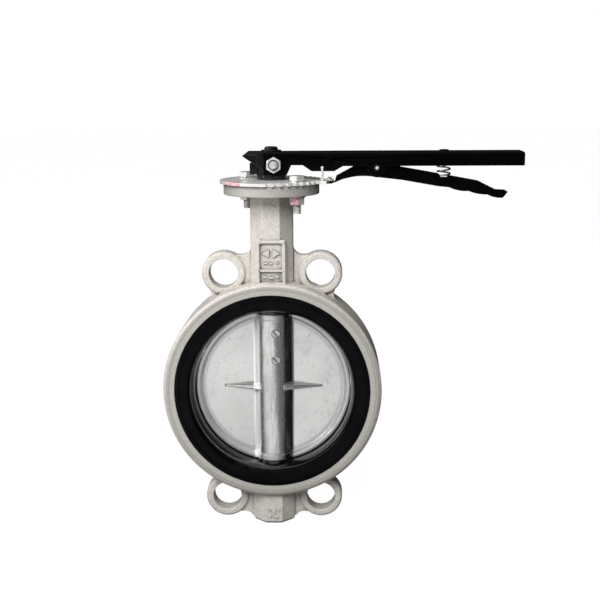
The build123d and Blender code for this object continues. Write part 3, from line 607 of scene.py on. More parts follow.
@dataclass(frozen=True)
class Finish:
    """A finish that builds one material for the pieces it covers.

    Attributes:
        name: name of the material.
        colour: its main colour.
        roughness: roughness of its plain surface.
        metal: how mirror-like it is against a pale film.
    """

    name: str
    colour: Colour
    roughness: float
    metal: float = 0.0

    def build(self) -> bpy.types.Material:
        """Builds the material.

        Returns:
            The material.
        """
        material = bpy.data.materials.new(self.name)
        material.use_nodes = True
        material.diffuse_color = self.colour
        shader = material.node_tree.nodes["Principled BSDF"].inputs
        shader["Metallic"].default_value = self.metal
        shader["Roughness"].default_value = self.roughness
        sheet = Sheet(material.node_tree)
        self.paint(sheet, shader, sheet.add("TexCoord").outputs["Object"])
        return material

    def paint(self, sheet: Sheet, shader: Inputs, place: Socket) -> None:
        """Feeds the shader, in each kind of finish.

        Args:
            sheet: the material's sheet.
            shader: the shader's inputs.
            place: the object's coordinates.
        """
        raise NotImplementedError

    def tint(self, share: float) -> Colour:
        """Gives the main colour, dimmed or lifted to a share of itself."""
        return tuple(share * part for part in self.colour[:3]) + (1.0,)

    @staticmethod
    def bump(sheet: Sheet, shader: Inputs, height: Socket, distance: float, strength: float) -> None:
        """Feeds a height to the shader as a bump.

        Args:
            sheet: the material's sheet.
            shader: the shader's inputs.
            height: the height.
            distance: depth of the full height.
            strength: how much of it shows.
        """
        bump = sheet.add("Bump", {"Distance": distance, "Strength": strength, "Height": height})
        sheet.feed(shader["Normal"], bump.outputs["Normal"])


@dataclass(frozen=True)
class CastSteel(Finish):
    """Blasted stainless casting with machined faces.

    Attributes:
        mottle: colour of its small stains.
        shadow: colour of its real pits, and of the painted shade in its hollows and along the fine turned
            step.
        narrow_corner_shade: colour of the painted shade in its narrow corners.
        panel: colour of the painted shade deep in the name panel's hollows.
        machined: colour of its turned faces.
        worn: colour of its rubbed edges.
        face_at: distance of the turned faces from the middle plane.
        ring_top: height under which those faces lie.
        step: radius of the fine step turned into them.
        flange_low: height where the turned flange starts.
    """

    metal: float = 0.34
    mottle: Colour = (0.27, 0.25, 0.22, 1.0)
    shadow: Colour = (0.20, 0.18, 0.155, 1.0)
    narrow_corner_shade: Colour = (0.05, 0.044, 0.038, 1.0)
    panel: Colour = (0.035, 0.03, 0.026, 1.0)
    machined: Colour = (0.47, 0.462, 0.425, 1.0)
    worn: Colour = (0.86, 0.85, 0.83, 1.0)
    face_at: float = 27.3 * MM
    ring_top: float = 110.0 * MM
    step: float = 98.4 * MM
    flange_low: float = 185.4 * MM

    def paint(self, sheet: Sheet, shader: Inputs, place: Socket) -> None:
        """Paints the casting."""
        skin = sheet.group("Cast Skin", Vector=place, Grain=1150.0, Waves=55.0, Pits=0.8)
        x, y, z = sheet.split(place)
        face = sheet.ramp(sheet.size(y), self.face_at, self.face_at + 0.5 * MM)
        face = sheet.times(face, sheet.fade(z, self.ring_top, self.ring_top + 2.0 * MM))
        turned = sheet.most(face, sheet.ramp(z, self.flange_low, self.flange_low + 1.0 * MM))
        tone = sheet.mix(skin["Tone"], self.tint(0.86), self.colour)
        tone = sheet.stain(tone, turned, self.machined)
        spots = sheet.ramp(sheet.noise(place, 480.0, 5.0, 0.7), 0.36, 0.64)
        tone = sheet.stain(tone, spots, self.mottle, 0.30)

        # Painted shade: a dark line along the fine turned step, and the turned faces a little darker outside
        # it.
        from_step = sheet.maths("SUBTRACT", sheet.radius(x, z), self.step)
        step_shade_line = sheet.times(sheet.fade(sheet.size(from_step), 0.25 * MM, 0.75 * MM), 0.5)
        outer = sheet.times(sheet.ramp(from_step, 0.0, 0.6 * MM), 0.22)
        tone = sheet.stain(tone, sheet.times(sheet.most(step_shade_line, outer), face), self.shadow)

        # Painted shade in hollows, from ambient occlusion, joined with the casting's real pits; the same mask
        # also roughens them.
        hollow_shade = sheet.group("Hollow Shade", Distance=7.0 * MM, Amount=0.6)["Mask"]
        painted_shade = sheet.most(hollow_shade, sheet.times(skin["Pit"], 0.75))
        tone = sheet.stain(tone, painted_shade, self.shadow)
        # Painted shade in narrow corners: a dark line where faces meet.
        corner = sheet.group("Hollow Shade", Distance=2.8 * MM, Amount=1.0)["Mask"]
        tone = sheet.stain(tone, corner, self.narrow_corner_shade)
        # Painted shade deep in the two hollows of the name panel.
        depth = sheet.group("Hollow Shade", Distance=5.5 * MM, Amount=1.0)["Mask"]
        inside = sheet.fade(sheet.size(x), 12.0 * MM, 13.0 * MM)
        inside = sheet.times(inside, sheet.band(z, 103.0 * MM, 105.0 * MM, 145.0 * MM, 147.0 * MM))
        tone = sheet.stain(tone, sheet.times(depth, inside), self.panel)
        wear = sheet.group("Edge Wear", Vector=place, Amount=5.0, Breakup=240.0)["Mask"]
        sheet.feed(shader["Base Color"], sheet.stain(tone, wear, self.worn, 0.55))

        terms = (turned, -0.13), (skin["Tone"], 0.08), (painted_shade, 0.18)
        sheet.feed(shader["Roughness"], sheet.total(self.roughness, *terms, clamp=True))
        calm = sheet.total(1.0, (turned, -0.7))
        self.bump(sheet, shader, sheet.times(skin["Height"], calm), 0.5 * MM, 0.75)


@dataclass(frozen=True)
class DiscSteel(Finish):
    """Tumbled stainless casting of the disc, with a painted highlight down the left side of its hub and a
    painted dark reflection down the right side.

    Attributes:
        rubbing: colour where it is rubbed along the hub.
        speckle: colour of its fine specks.
        pit: colour of its pits.
        hollow_shade: colour of the painted shade in its inside corners.
        scale: colour of the painted dark reflection along the hub's right side.
        rim: radius where the disc's raised rim starts.
    """

    metal: float = 0.94
    rubbing: Colour = (0.55, 0.55, 0.54, 1.0)
    speckle: Colour = (0.52, 0.52, 0.51, 1.0)
    pit: Colour = (0.25, 0.24, 0.22, 1.0)
    hollow_shade: Colour = (0.22, 0.2, 0.18, 1.0)
    scale: Colour = (0.05, 0.05, 0.045, 1.0)
    rim: float = 65.5 * MM

    def paint(self, sheet: Sheet, shader: Inputs, place: Socket) -> None:
        """Paints the disc."""
        skin = sheet.group("Cast Skin", Vector=place, Grain=1500.0, Waves=34.0, Pits=0.55)
        x, _, z = sheet.split(place)
        clouds = sheet.ramp(sheet.noise(place, 16.0, 3.0, 0.5), 0.35, 0.7)
        tone = sheet.stain(sheet.mix(clouds, self.colour, self.tint(0.78)), skin["Tone"], PALE, 0.45)
        drawn = sheet.stretched(place, (1.0, 1.0, 0.16))
        on_hub = sheet.ramp(sheet.size(x), 9.0 * MM, 13.0 * MM, 1.0, 0.06)
        rubbed = sheet.times(sheet.ramp(sheet.noise(drawn, 420.0, 4.0, 0.6), 0.42, 0.66), on_hub)
        tone = sheet.stain(tone, rubbed, self.rubbing, 0.26)
        specks = sheet.ramp(sheet.noise(place, 900.0, 3.0, 0.6), 0.52, 0.70)
        tone = sheet.stain(tone, specks, self.speckle, 0.35)
        tone = sheet.stain(tone, skin["Pit"], self.pit, 0.7)
        # Painted shade in the disc's inside corners.
        tone = sheet.stain(tone, sheet.group("Hollow Shade", Distance=6.0 * MM, Amount=0.4)["Mask"], self.hollow_shade)

        # Painted reflection: a patchy dark band down the right side of the hub stands in for the dark
        # surroundings it mirrors.
        dark_reflection_band = sheet.band(x, 9.8 * MM, 12.5 * MM, 17.5 * MM, 20.0 * MM)
        dark_reflection_band = sheet.times(dark_reflection_band, sheet.ramp(sheet.size(z), 2.5 * MM, 5.0 * MM))
        patchy = sheet.ramp(sheet.noise(drawn, 150.0, 4.0, 0.6), 0.3, 0.55, 0.78, 1.0)
        tone = sheet.stain(tone, sheet.times(dark_reflection_band, patchy), self.scale)
        # Painted highlight: a pale band down the left side of the hub, made less metallic so it stays light.
        blasted = sheet.band(x, -19.5 * MM, -18.0 * MM, -13.5 * MM, -11.5 * MM)
        tone = sheet.stain(tone, blasted, PALE, 0.7)
        sheet.feed(shader["Metallic"], sheet.total(self.metal, (blasted, -0.45)))
        wear = sheet.group("Edge Wear", Vector=place, Amount=5.0, Breakup=200.0)["Mask"]
        sheet.feed(shader["Base Color"], sheet.stain(tone, wear, WORN, 0.6))

        on_rim = sheet.ramp(sheet.radius(x, z), self.rim - 1.5 * MM, self.rim + 0.5 * MM)
        terms = (skin["Tone"], 0.08), (rubbed, 0.14), (on_rim, 0.18)
        sheet.feed(shader["Roughness"], sheet.total(self.roughness, *terms, clamp=True))
        self.bump(sheet, shader, sheet.total(skin["Height"], (rubbed, 0.4)), 0.3 * MM, 0.5)


@dataclass(frozen=True)
class Rubber(Finish):
    """Moulded black rubber: dull on the lips, polished by the disc in the throat.

    Attributes:
        bloom: colour of its faint bloom.
        dust: colour of the dust on it.
        throat: how far the polished throat reaches from the middle plane.
    """

    bloom: Colour = (0.003, 0.003, 0.0035, 1.0)
    dust: Colour = (0.11, 0.105, 0.1, 1.0)
    throat: float = 24.0 * MM

    def paint(self, sheet: Sheet, shader: Inputs, place: Socket) -> None:
        """Paints the rubber."""
        grain = sheet.group("Fine Grain", Vector=place, Scale=1400.0, Slow=45.0)
        bloom = sheet.ramp(grain["Broad"], 0.45, 0.75)
        dust = sheet.group("Settled Dust", Vector=place, Amount=0.05)["Mask"]
        tone = sheet.stain(sheet.mix(bloom, self.colour, self.bloom), dust, self.dust)
        sheet.feed(shader["Base Color"], tone)
        sheet.feed(shader["Roughness"], sheet.total(self.roughness, (bloom, 0.1), (dust, 0.5), clamp=True))
        self.bump(sheet, shader, sheet.total(grain["Broad"], (grain["Fine"], 0.12)), 0.35 * MM, 0.35)
        along = sheet.size(sheet.split(place)[1])
        shine = sheet.ramp(along, self.throat, self.throat + 3.0 * MM, 0.9, 0.06)
        sheet.feed(shader["Specular IOR Level"], shine)


@dataclass(frozen=True)
class BareSteel(Finish):
    """Machined or bright metal with fine tool marks, and dabs of a fitter's marking paint.

    Attributes:
        dull: colour where it has gone dull.
        corner: colour of the painted shade in its inside corners.
        stretch: how far the tool marks are drawn out along each axis.
        painted_shade: how dark the painted shade in its inside corners is.
        marks: centre and radius of each dab of paint.
        paint_thick: colour of the paint where it is thick.
        paint_thin: colour of the paint where it is thin.
    """

    metal: float = 1.0
    dull: Colour = (0.42, 0.41, 0.39, 1.0)
    corner: Colour = (0.10, 0.09, 0.08, 1.0)
    stretch: Point = (1.0, 1.0, 6.0)
    painted_shade: float = 0.5
    marks: tuple[tuple[Point, float], ...] = ()
    paint_thick: Colour = (0.50, 0.24, 0.27, 1.0)
    paint_thin: Colour = (0.80, 0.56, 0.58, 1.0)

    def paint(self, sheet: Sheet, shader: Inputs, place: Socket) -> None:
        """Paints the bare metal and its marks."""
        drawn = sheet.stretched(place, self.stretch)
        grain = sheet.group("Fine Grain", Vector=drawn, Scale=620.0, Slow=60.0)
        cloud = sheet.ramp(grain["Broad"], 0.4, 0.68)
        # Painted shade darkens its inside corners.
        hollow_shade = sheet.group("Hollow Shade", Distance=3.0 * MM, Amount=self.painted_shade)["Mask"]
        tone = sheet.stain(sheet.mix(cloud, self.colour, self.dull), hollow_shade, self.corner)
        wear = sheet.group("Edge Wear", Vector=place, Amount=4.0, Breakup=500.0)["Mask"]
        tone = sheet.stain(tone, wear, (0.95, 0.95, 0.95, 1.0), 0.5)
        rough = sheet.total(self.roughness, (cloud, 0.16), (grain["Fine"], 0.08), clamp=True)
        covered = None
        for centre, radius in self.marks:
            dab = sheet.group("Paint Dab", Vector=place, Place=centre, Radius=radius)["Mask"]
            covered = dab if covered is None else sheet.most(covered, dab)
        if covered is not None:
            thin = sheet.ramp(sheet.noise(place, 260.0, 3.0, 0.6), 0.35, 0.65)
            tone = sheet.stain(tone, covered, sheet.mix(thin, self.paint_thick, self.paint_thin))
            rough = sheet.most(rough, sheet.times(covered, 0.45))
            bare = sheet.maths("SUBTRACT", 1.0, covered, clamp=True)
            sheet.feed(shader["Metallic"], sheet.times(bare, self.metal))
        sheet.feed(shader["Base Color"], tone)
        sheet.feed(shader["Roughness"], rough)
        self.bump(sheet, shader, grain["Fine"], 0.06 * MM, 0.5)


@dataclass(frozen=True)
class Enamel(Finish):
    """Black enamel with orange peel, rubbed edges and a little dust.

    Attributes:
        powder: colour of the dust on it.
        rubbed: colour of its rubbed edges.
        peel: scale of the orange peel, per metre.
        depth: depth of the orange peel.
        dust: amount of dust on its upper faces.
        shine: strength of its reflections.
    """

    powder: Colour = (0.16, 0.155, 0.15, 1.0)
    rubbed: Colour = (0.02, 0.02, 0.022, 1.0)
    peel: float = 260.0
    depth: float = 0.10 * MM
    dust: float = 0.10
    shine: float = 0.3

    def paint(self, sheet: Sheet, shader: Inputs, place: Socket) -> None:
        """Paints the enamel."""
        grain = sheet.group("Fine Grain", Vector=place, Scale=self.peel, Slow=30.0)
        dust = sheet.group("Settled Dust", Vector=place, Amount=self.dust)["Mask"]
        wear = sheet.group("Edge Wear", Vector=place, Amount=3.0, Breakup=350.0)["Mask"]
        tone = sheet.mix(sheet.ramp(grain["Broad"], 0.4, 0.7), self.colour, self.tint(1.5))
        tone = sheet.stain(tone, dust, self.powder)
        tone = sheet.stain(tone, sheet.ramp(wear, 0.35, 0.8, 0.0, 0.5), self.rubbed)
        sheet.feed(shader["Base Color"], tone)
        terms = (grain["Broad"], 0.08), (dust, 0.6)
        sheet.feed(shader["Roughness"], sheet.total(self.roughness, *terms, clamp=True))
        self.bump(sheet, shader, grain["Fine"], self.depth, 0.4)
        shader["Specular IOR Level"].default_value = self.shine


@dataclass(frozen=True)
class PaintedPin(Finish):
    """Black enamelled rivet with a painted highlight: a bright metal spot in its middle stands in for a
    glint.

    Attributes:
        bare: colour of the painted highlight in the middle.
        axis: where the pin's axis runs, along the lever and up.
        bright: radius of the painted highlight.
    """

    bare: Colour = (0.92, 0.92, 0.91, 1.0)
    axis: tuple[float, float] = (0.0, 0.0)
    bright: float = 1.4 * MM

    def paint(self, sheet: Sheet, shader: Inputs, place: Socket) -> None:
        """Paints the pin."""
        x, _, z = sheet.split(place)
        along, upward = (sheet.maths("SUBTRACT", part, at) for part, at in zip((x, z), self.axis))
        grain = sheet.group("Fine Grain", Vector=place, Scale=900.0, Slow=220.0)
        ragged = sheet.total(sheet.radius(along, upward), (grain["Fine"], 0.5 * MM))
        # Painted highlight: the middle is coloured bright metal round the pin's axis.
        rubbed = sheet.fade(ragged, self.bright, self.bright + 0.5 * MM)
        sheet.feed(shader["Base Color"], sheet.mix(rubbed, self.colour, self.bare))
        sheet.feed(shader["Metallic"], sheet.times(rubbed, 0.6))
        sheet.feed(shader["Roughness"], sheet.total(self.roughness, (grain["Broad"], 0.12)))
        self.bump(sheet, shader, grain["Fine"], 0.05 * MM, 0.4)


class Slot(Enum):
    """Material slots of the record."""

    CAST_BODY = "cast_body"
    RUBBER = "rubber"
    DISC_STEEL = "disc_steel"
    MACHINED_STEEL = "machined_steel"
    BUSHING = "bushing"
    ZINC_PLATE = "zinc_plate"
    ZINC_SCREW = "zinc_screw"
    BLACK_CAST = "black_cast"
    BLACK_GLOSS = "black_gloss"
    BRIGHT_PIN = "bright_pin"
    SPRING_STEEL = "spring_steel"


@dataclass
class Wardrobe:
    """Builds one material per slot, dresses pieces with it and puts them on their bodies."""

    frame: dict[str, object]

    def __post_init__(self) -> None:
        """Builds every material once."""
        bodies = self.frame["record"]["behaviour"]["bodies"]
        self.materials = {slot: finish.build() for slot, finish in self.finishes().items()}
        self.nodes = self.frame["nodes"]
        self.bodies = {name: body for body, names in bodies.items() for name in names}

    @staticmethod
    def finishes() -> dict[Slot, Finish]:
        """Gives the finish of each slot, with its paint marks and the place of the pivot pin's painted
        highlight on the frame.
        """
        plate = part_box("notch_plate")[0].z
        nut = (21.5 * MM, -31.0 * MM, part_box("plate_nuts")[0].z + 4.5 * MM)
        edge = (-38.0 * MM, -30.0 * MM, plate + 0.6 * MM)
        edge_right = (-31.5 * MM, -36.5 * MM, plate)
        low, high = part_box("trigger_pin")
        pin = (low + high) / 2
        even = (1.0, 1.0, 1.0)
        return {
            Slot.CAST_BODY: CastSteel("blasted stainless casting", (0.74, 0.70, 0.655, 1.0), 0.52),
            Slot.RUBBER: Rubber("black moulded rubber", (0.0015, 0.0015, 0.002, 1.0), 0.07),
            Slot.DISC_STEEL: DiscSteel("tumbled stainless disc", (0.87, 0.87, 0.86, 1.0), 0.15),
            Slot.MACHINED_STEEL: BareSteel("machined stainless", (0.74, 0.73, 0.71, 1.0), 0.24),
            Slot.BUSHING: BareSteel(
                "sliding bronze", (0.62, 0.46, 0.24, 1.0), 0.32, dull=(0.40, 0.28, 0.14, 1.0)
            ),
            Slot.ZINC_PLATE: BareSteel(
                "zinc plated plate", (0.90, 0.90, 0.88, 1.0), 0.26, dull=(0.74, 0.73, 0.70, 1.0),
                stretch=even, metal=0.55, marks=((edge, 6.0 * MM), (edge_right, 6.5 * MM)),
            ),
            Slot.ZINC_SCREW: BareSteel(
                "zinc plated screws", PALE, 0.20, dull=(0.55, 0.54, 0.52, 1.0),
                stretch=(1.0, 1.0, 2.0), painted_shade=0.95, metal=0.6, marks=((nut, 5.6 * MM),),
            ),
            Slot.BLACK_CAST: Enamel(
                "black painted casting", (0.003, 0.003, 0.0035, 1.0), 0.13,
                peel=420.0, depth=0.22 * MM, dust=0.02, shine=0.5,
            ),
            Slot.BLACK_GLOSS: Enamel(
                "gloss black enamel", (0.001, 0.001, 0.0013, 1.0), 0.11, dust=0.01, shine=0.09
            ),
            Slot.BRIGHT_PIN: PaintedPin(
                "pivot pin with painted glint", (0.003, 0.003, 0.003, 1.0), 0.15, axis=(pin.x, pin.z)
            ),
            Slot.SPRING_STEEL: BareSteel("bright spring wire", (0.80, 0.80, 0.80, 1.0), 0.20, stretch=even),
        }

    def dress_node(self, name: str, slot: Slot) -> None:
        """Gives a frame node its finish, on its object's slots."""
        for holder in self.nodes[name].material_slots:
            holder.link = "OBJECT"
            holder.material = self.materials[slot]
        LOG.info("node %s keeps its shape, finish %s", name, slot.value)

    def dress_piece(self, piece: Piece, node: str, slot: Slot, angle: float = 32.0) -> None:
        """Finishes a new piece: material, shading, body and the node that it stands for.

        Args:
            piece: the new piece.
            node: the frame node it replaces.
            slot: its material slot.
            angle: largest edge angle that is shaded smooth, in degrees.
        """
        piece.data.materials.clear()
        piece.data.materials.append(self.materials[slot])
        for face in piece.data.polygons:
            face.material_index = 0
        Bench.smooth(piece, angle)
        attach(piece, self.bodies[node])
        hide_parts(node)
        LOG.info("piece %s stands for %s, %d faces", piece.name, node, len(piece.data.polygons))

    def refine(self, node: str, slot: Slot, width: float, segments: int = 2, angle: float = 28.0) -> None:
        """Replaces a node by its finished copy.

        Args:
            node: name of the node.
            slot: its material slot.
            width: size of the rounding, in millimetres.
            segments: faces across the rounding.
            angle: smallest edge angle that is rounded, in degrees.
        """
        piece = Bench.refined(self.nodes[node], node + "_finished", width * MM, segments, angle)
        self.dress_piece(piece, node, slot)


# ------------------------------------------------------------------ sub-assemblies


@dataclass
class PipeBody:
    """The casting with its rubber liner, cast marks and the stem's bearings.

    Attributes:
        wardrobe: gives the finishes.
        rounding: rounding on the casting's edges.
        mark_rise: how far cast marks stand out.
        bead: height of the sealing bead on the liner's lips.
        panel_floor: where the floor of the name panel's hollows lies.
        panel_sink: how much deeper those hollows are pressed.
        panel_side: how far the hollows reach to each side.
        panel_span: heights between which they lie.
        boss_face: where the front of the bottom boss lies.
    """

    wardrobe: Wardrobe
    rounding: float = 0.7 * MM
    mark_rise: float = 1.8 * MM
    bead: float = 0.7 * MM
    panel_floor: float = -21.3 * MM
    panel_sink: float = 1.7 * MM
    panel_side: float = 11.5 * MM
    panel_span: tuple[float, float] = (100.0 * MM, 143.0 * MM)
    boss_face: float = -20.0 * MM

    def build(self) -> None:
        """Builds the casting and dresses its inner pieces."""
        casting = Bench.refined(self.wardrobe.nodes["body"], "casting", 0.0)
        self.deepen_panel(casting)
        Bench.bevel(casting, self.rounding, 2, 30.0)
        casting = Bench.join("casting", [casting, *self.panel_marks(), *self.boss_marks()])
        self.wardrobe.dress_piece(casting, "body", Slot.CAST_BODY, 34.0)
        self.build_liner()
        for name in ("upper_bushing", "middle_bushing", "lower_bushing"):
            self.wardrobe.dress_node(name, Slot.BUSHING)
        self.wardrobe.dress_node("stem_seal_rings", Slot.RUBBER)
        self.wardrobe.refine("thrust_washer", Slot.MACHINED_STEEL, 0.2)

    def deepen_panel(self, casting: Piece) -> None:
        """Presses the two hollows of the name panel deeper into the neck.

        Args:
            casting: the casting before its edges are rounded.
        """
        Bench.edit(casting, lambda: None, "DESELECT")
        low, high = self.panel_span
        for vertex in casting.data.vertices:
            x, y, z = vertex.co
            on_floor = abs(y - self.panel_floor) < 0.05 * MM
            vertex.select = on_floor and abs(x) < self.panel_side and low < z < high
        bpy.ops.object.mode_set(mode="EDIT")
        bpy.ops.transform.translate(value=(0.0, self.panel_sink, 0.0))
        bpy.ops.object.mode_set(mode="OBJECT")

    def liner_outline(self) -> list[tuple[float, float]]:
        """Gives the front half of the liner's section, from the throat over the lip to its back.

        Returns:
            Radius and distance along the pipe of each point.
        """
        low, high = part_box("seat")
        lip = (high.x - low.x) / 2
        face = high.y - self.bead
        bore = lip - 17.7 * MM
        flare = [share / 8 for share in range(1, 8)]
        half = [(bore, 12.8 * MM)]
        half += [(bore + (1.5 * s + 4.5 * s**3) * MM, (12.8 + 16.0 * s**0.85) * MM) for s in flare]
        half += [(bore + 5.3 * MM, face - 0.5 * MM), (bore + 5.8 * MM, face - 0.12 * MM)]
        half.append((bore + 6.6 * MM, face))
        for turn in range(180, -1, -30):
            angle = math.radians(turn)
            across = lip - 3.5 * MM + 0.8 * MM * math.cos(angle)
            half.append((across, face + self.bead * math.sin(angle)))
        half += [(lip - 0.5 * MM, face), (lip - 0.12 * MM, face - 0.15 * MM), (lip, face - 0.5 * MM)]
        return half + [(lip, face - 4.3 * MM), (bore + 10.0 * MM, face - 4.3 * MM)]

    def build_liner(self) -> None:
        """Turns the rubber liner: straight throat, flared mouths, beaded lips, pads for the disc's hub."""
        half = self.liner_outline()
        ring = half + [(radius, -along) for radius, along in reversed(half)]
        Bench.clear()
        bpy.ops.mesh.primitive_circle_add(vertices=len(ring), radius=1.0)
        liner = Bench.made("rubber_liner")
        for vertex, (radius, along) in zip(liner.data.vertices, ring):
            vertex.co = (radius, along, 0.0)
        Bench.change(
            liner, "SCREW", axis="Y", steps=240, render_steps=240,
            use_merge_vertices=True, merge_threshold=0.001 * MM,
        )
        Bench.edit(liner, lambda: bpy.ops.mesh.normals_make_consistent(inside=False))
        for height in (-74.3 * MM, 74.3 * MM):
            pad = Bench.cylinder("pad", 17.4 * MM, 4.0 * MM, (0.0, 0.0, height), sides=96)
            Bench.bevel(pad, 0.5 * MM, 3, 40.0)
            Bench.combine(liner, pad, "UNION")
        Bench.combine(liner, Bench.cylinder("stem_hole", 9.8 * MM, 200.0 * MM, ORIGIN), "DIFFERENCE")
        self.wardrobe.dress_piece(liner, "seat", Slot.RUBBER, 38.0)

    def panel_marks(self) -> list[Piece]:
        """Casts a plain valve sign and a few bars into the name panel.

        Returns:
            The raised marks.
        """
        floor = self.panel_floor + self.panel_sink
        depth = 2.0 * self.mark_rise
        marks = []
        for side in (-1.0, 1.0):
            Bench.clear()
            bpy.ops.mesh.primitive_cylinder_add(
                vertices=3, radius=4.6 * MM, depth=depth, location=(side * 4.0 * MM, floor, 131.5 * MM),
                rotation=(QUARTER, side * QUARTER, 0.0),
            )
            wing = Bench.settle(Bench.made("wing"))
            Bench.bevel(wing, 0.45 * MM, 3, 30.0)
            marks.append(wing)
        for left, low, wide, high, lean, soft in (
            (-5.2, 122.6, 4.0, 1.7, -0.12, 0.4), (0.0, 122.2, 3.4, 1.7, 0.0, 0.4),
            (5.6, 122.8, 2.8, 1.7, 0.12, 0.4), (-6.0, 109.4, 3.6, 2.2, 0.2, 0.5),
            (0.2, 108.8, 4.6, 2.2, 0.2, 0.5), (6.2, 109.6, 3.2, 2.2, 0.2, 0.5),
        ):
            size = (wide * MM, depth, high * MM)
            marks.append(Bench.block("bar", size, (left * MM, floor, low * MM), lean, soft * MM))
        for side in (-11.2 * MM, 11.2 * MM):
            size = (4.6 * MM, 2.6 * MM, 4.2 * MM)
            marks.append(Bench.block("panel_corner", size, (side, -21.9 * MM, 142.6 * MM), rounding=1.0 * MM))
        return marks

    def boss_marks(self) -> list[Piece]:
        """Casts rough marks on the front of the bottom boss.

        Returns:
            The raised marks.
        """
        marks = []
        for left, low, wide, high, lean in (
            (-4.6, -121.0, 3.4, 2.0, 0.3), (0.6, -122.4, 3.0, 3.4, -0.4), (4.8, -120.6, 2.4, 2.2, 0.6),
            (-3.4, -127.2, 2.6, 3.0, -0.2), (2.4, -128.0, 4.2, 1.8, 0.35),
        ):
            size = (wide * MM, 1.4 * self.mark_rise, high * MM)
            marks.append(Bench.block("boss_mark", size, (left * MM, self.boss_face, low * MM), lean))
        return marks


@dataclass
class DiscAssembly:
    """The disc on its stem, with the slotted pins that fix it."""

    wardrobe: Wardrobe

    def build(self) -> None:
        """Builds the disc and dresses the stem."""
        self.wardrobe.refine("disc", Slot.DISC_STEEL, 0.6, 2, 38.0)
        for node, width in (("disc_pins", 0.25), ("stem", 0.3), ("retaining_ring", 0.15)):
            self.wardrobe.refine(node, Slot.MACHINED_STEEL, width)


@dataclass
class Fastener:
    """An M8 screw, with real threads, a turned head and its nut.

    Attributes:
        thread: radius over the thread's crests.
        pitch: rise of the thread per turn.
        flats: size of the hexagon across its flats.
    """

    thread: float = 3.95 * MM
    pitch: float = 1.25 * MM
    flats: float = 13.0 * MM

    def rod(self, name: str, length: float) -> Piece:
        """Makes a threaded rod that hangs down from the origin.

        Args:
            name: name of the rod.
            length: its length.

        Returns:
            The rod.
        """
        core = Bench.cylinder(name, self.thread - 0.62 * MM, length, (0.0, 0.0, -length / 2), sides=40)
        turns = (length - 0.8 * MM) / self.pitch
        crest = Bench.coil("crest", 0.56 * MM, self.thread - 0.56 * MM, self.pitch, turns, 3, 24)
        Bench.settle(crest, location=(0.0, 0.0, -length + 0.4 * MM))
        return Bench.join(name, [core, crest])

    def hexagon(self, name: str, height: float, bored: bool) -> Piece:
        """Makes a head or a nut with turned corners, its foot on the origin.

        Args:
            name: name of the piece.
            height: its height.
            bored: whether a screw passes through it, as in a nut.

        Returns:
            The hexagon.
        """
        corner = self.flats / math.sqrt(3.0)
        hexagon = Bench.cylinder(name, corner, height, (0.0, 0.0, height / 2), sides=6)
        lathe = Bench.cylinder("lathe", corner * 0.992, height, (0.0, 0.0, height / 2), sides=96)
        Bench.bevel(lathe, 0.75 * MM, 1, 60.0)
        Bench.combine(hexagon, lathe, "INTERSECT")
        if bored:
            bore = Bench.cylinder("bore", self.thread + 0.05 * MM, 3 * height, ORIGIN, sides=40)
            Bench.combine(hexagon, bore, "DIFFERENCE")
        Bench.bevel(hexagon, 0.12 * MM, 2, 25.0)
        return hexagon


@dataclass
class TopFlange:
    """The toothed plate on the top flange, with its two screws, washers, nuts and stop pins.

    Attributes:
        wardrobe: gives the finishes.
        fastener: the kind of screw.
        circle: radius of the circle that the screws stand on.
    """

    wardrobe: Wardrobe
    fastener: Fastener
    circle: float = 35.0 * MM

    def spread(self, node: str, piece: Piece, height: float) -> None:
        """Stands a piece in both screw holes, on a diagonal across the stem, for a node.

        Args:
            node: name of the node.
            piece: the piece that is copied.
            height: how far it is lifted.
        """
        side = self.circle / math.sqrt(2.0)
        copies = [Bench.copy(piece, (x, -x, height)) for x in (side, -side)]
        bpy.data.objects.remove(piece)
        pair = Bench.join(node + "_finished", copies)
        self.wardrobe.dress_piece(pair, node, Slot.ZINC_SCREW, 25.0)

    def build(self) -> None:
        """Builds the plate and its fasteners."""
        self.wardrobe.refine("notch_plate", Slot.ZINC_PLATE, 0.35, 2, 30.0)
        self.wardrobe.refine("stop_pins", Slot.ZINC_PLATE, 0.2, 2, 40.0)
        self.wardrobe.refine("plate_washers", Slot.ZINC_SCREW, 0.25)
        low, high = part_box("plate_screws")
        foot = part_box("notch_plate")[1].z + 0.1 * MM
        head = self.fastener.hexagon("head", high.z - foot, False)
        screw = Bench.join("plate_screw", [head, self.fastener.rod("rod", foot - low.z)])
        self.spread("plate_screws", screw, foot)
        low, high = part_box("plate_nuts")
        self.spread("plate_nuts", self.fastener.hexagon("plate_nut", high.z - low.z, True), low.z)


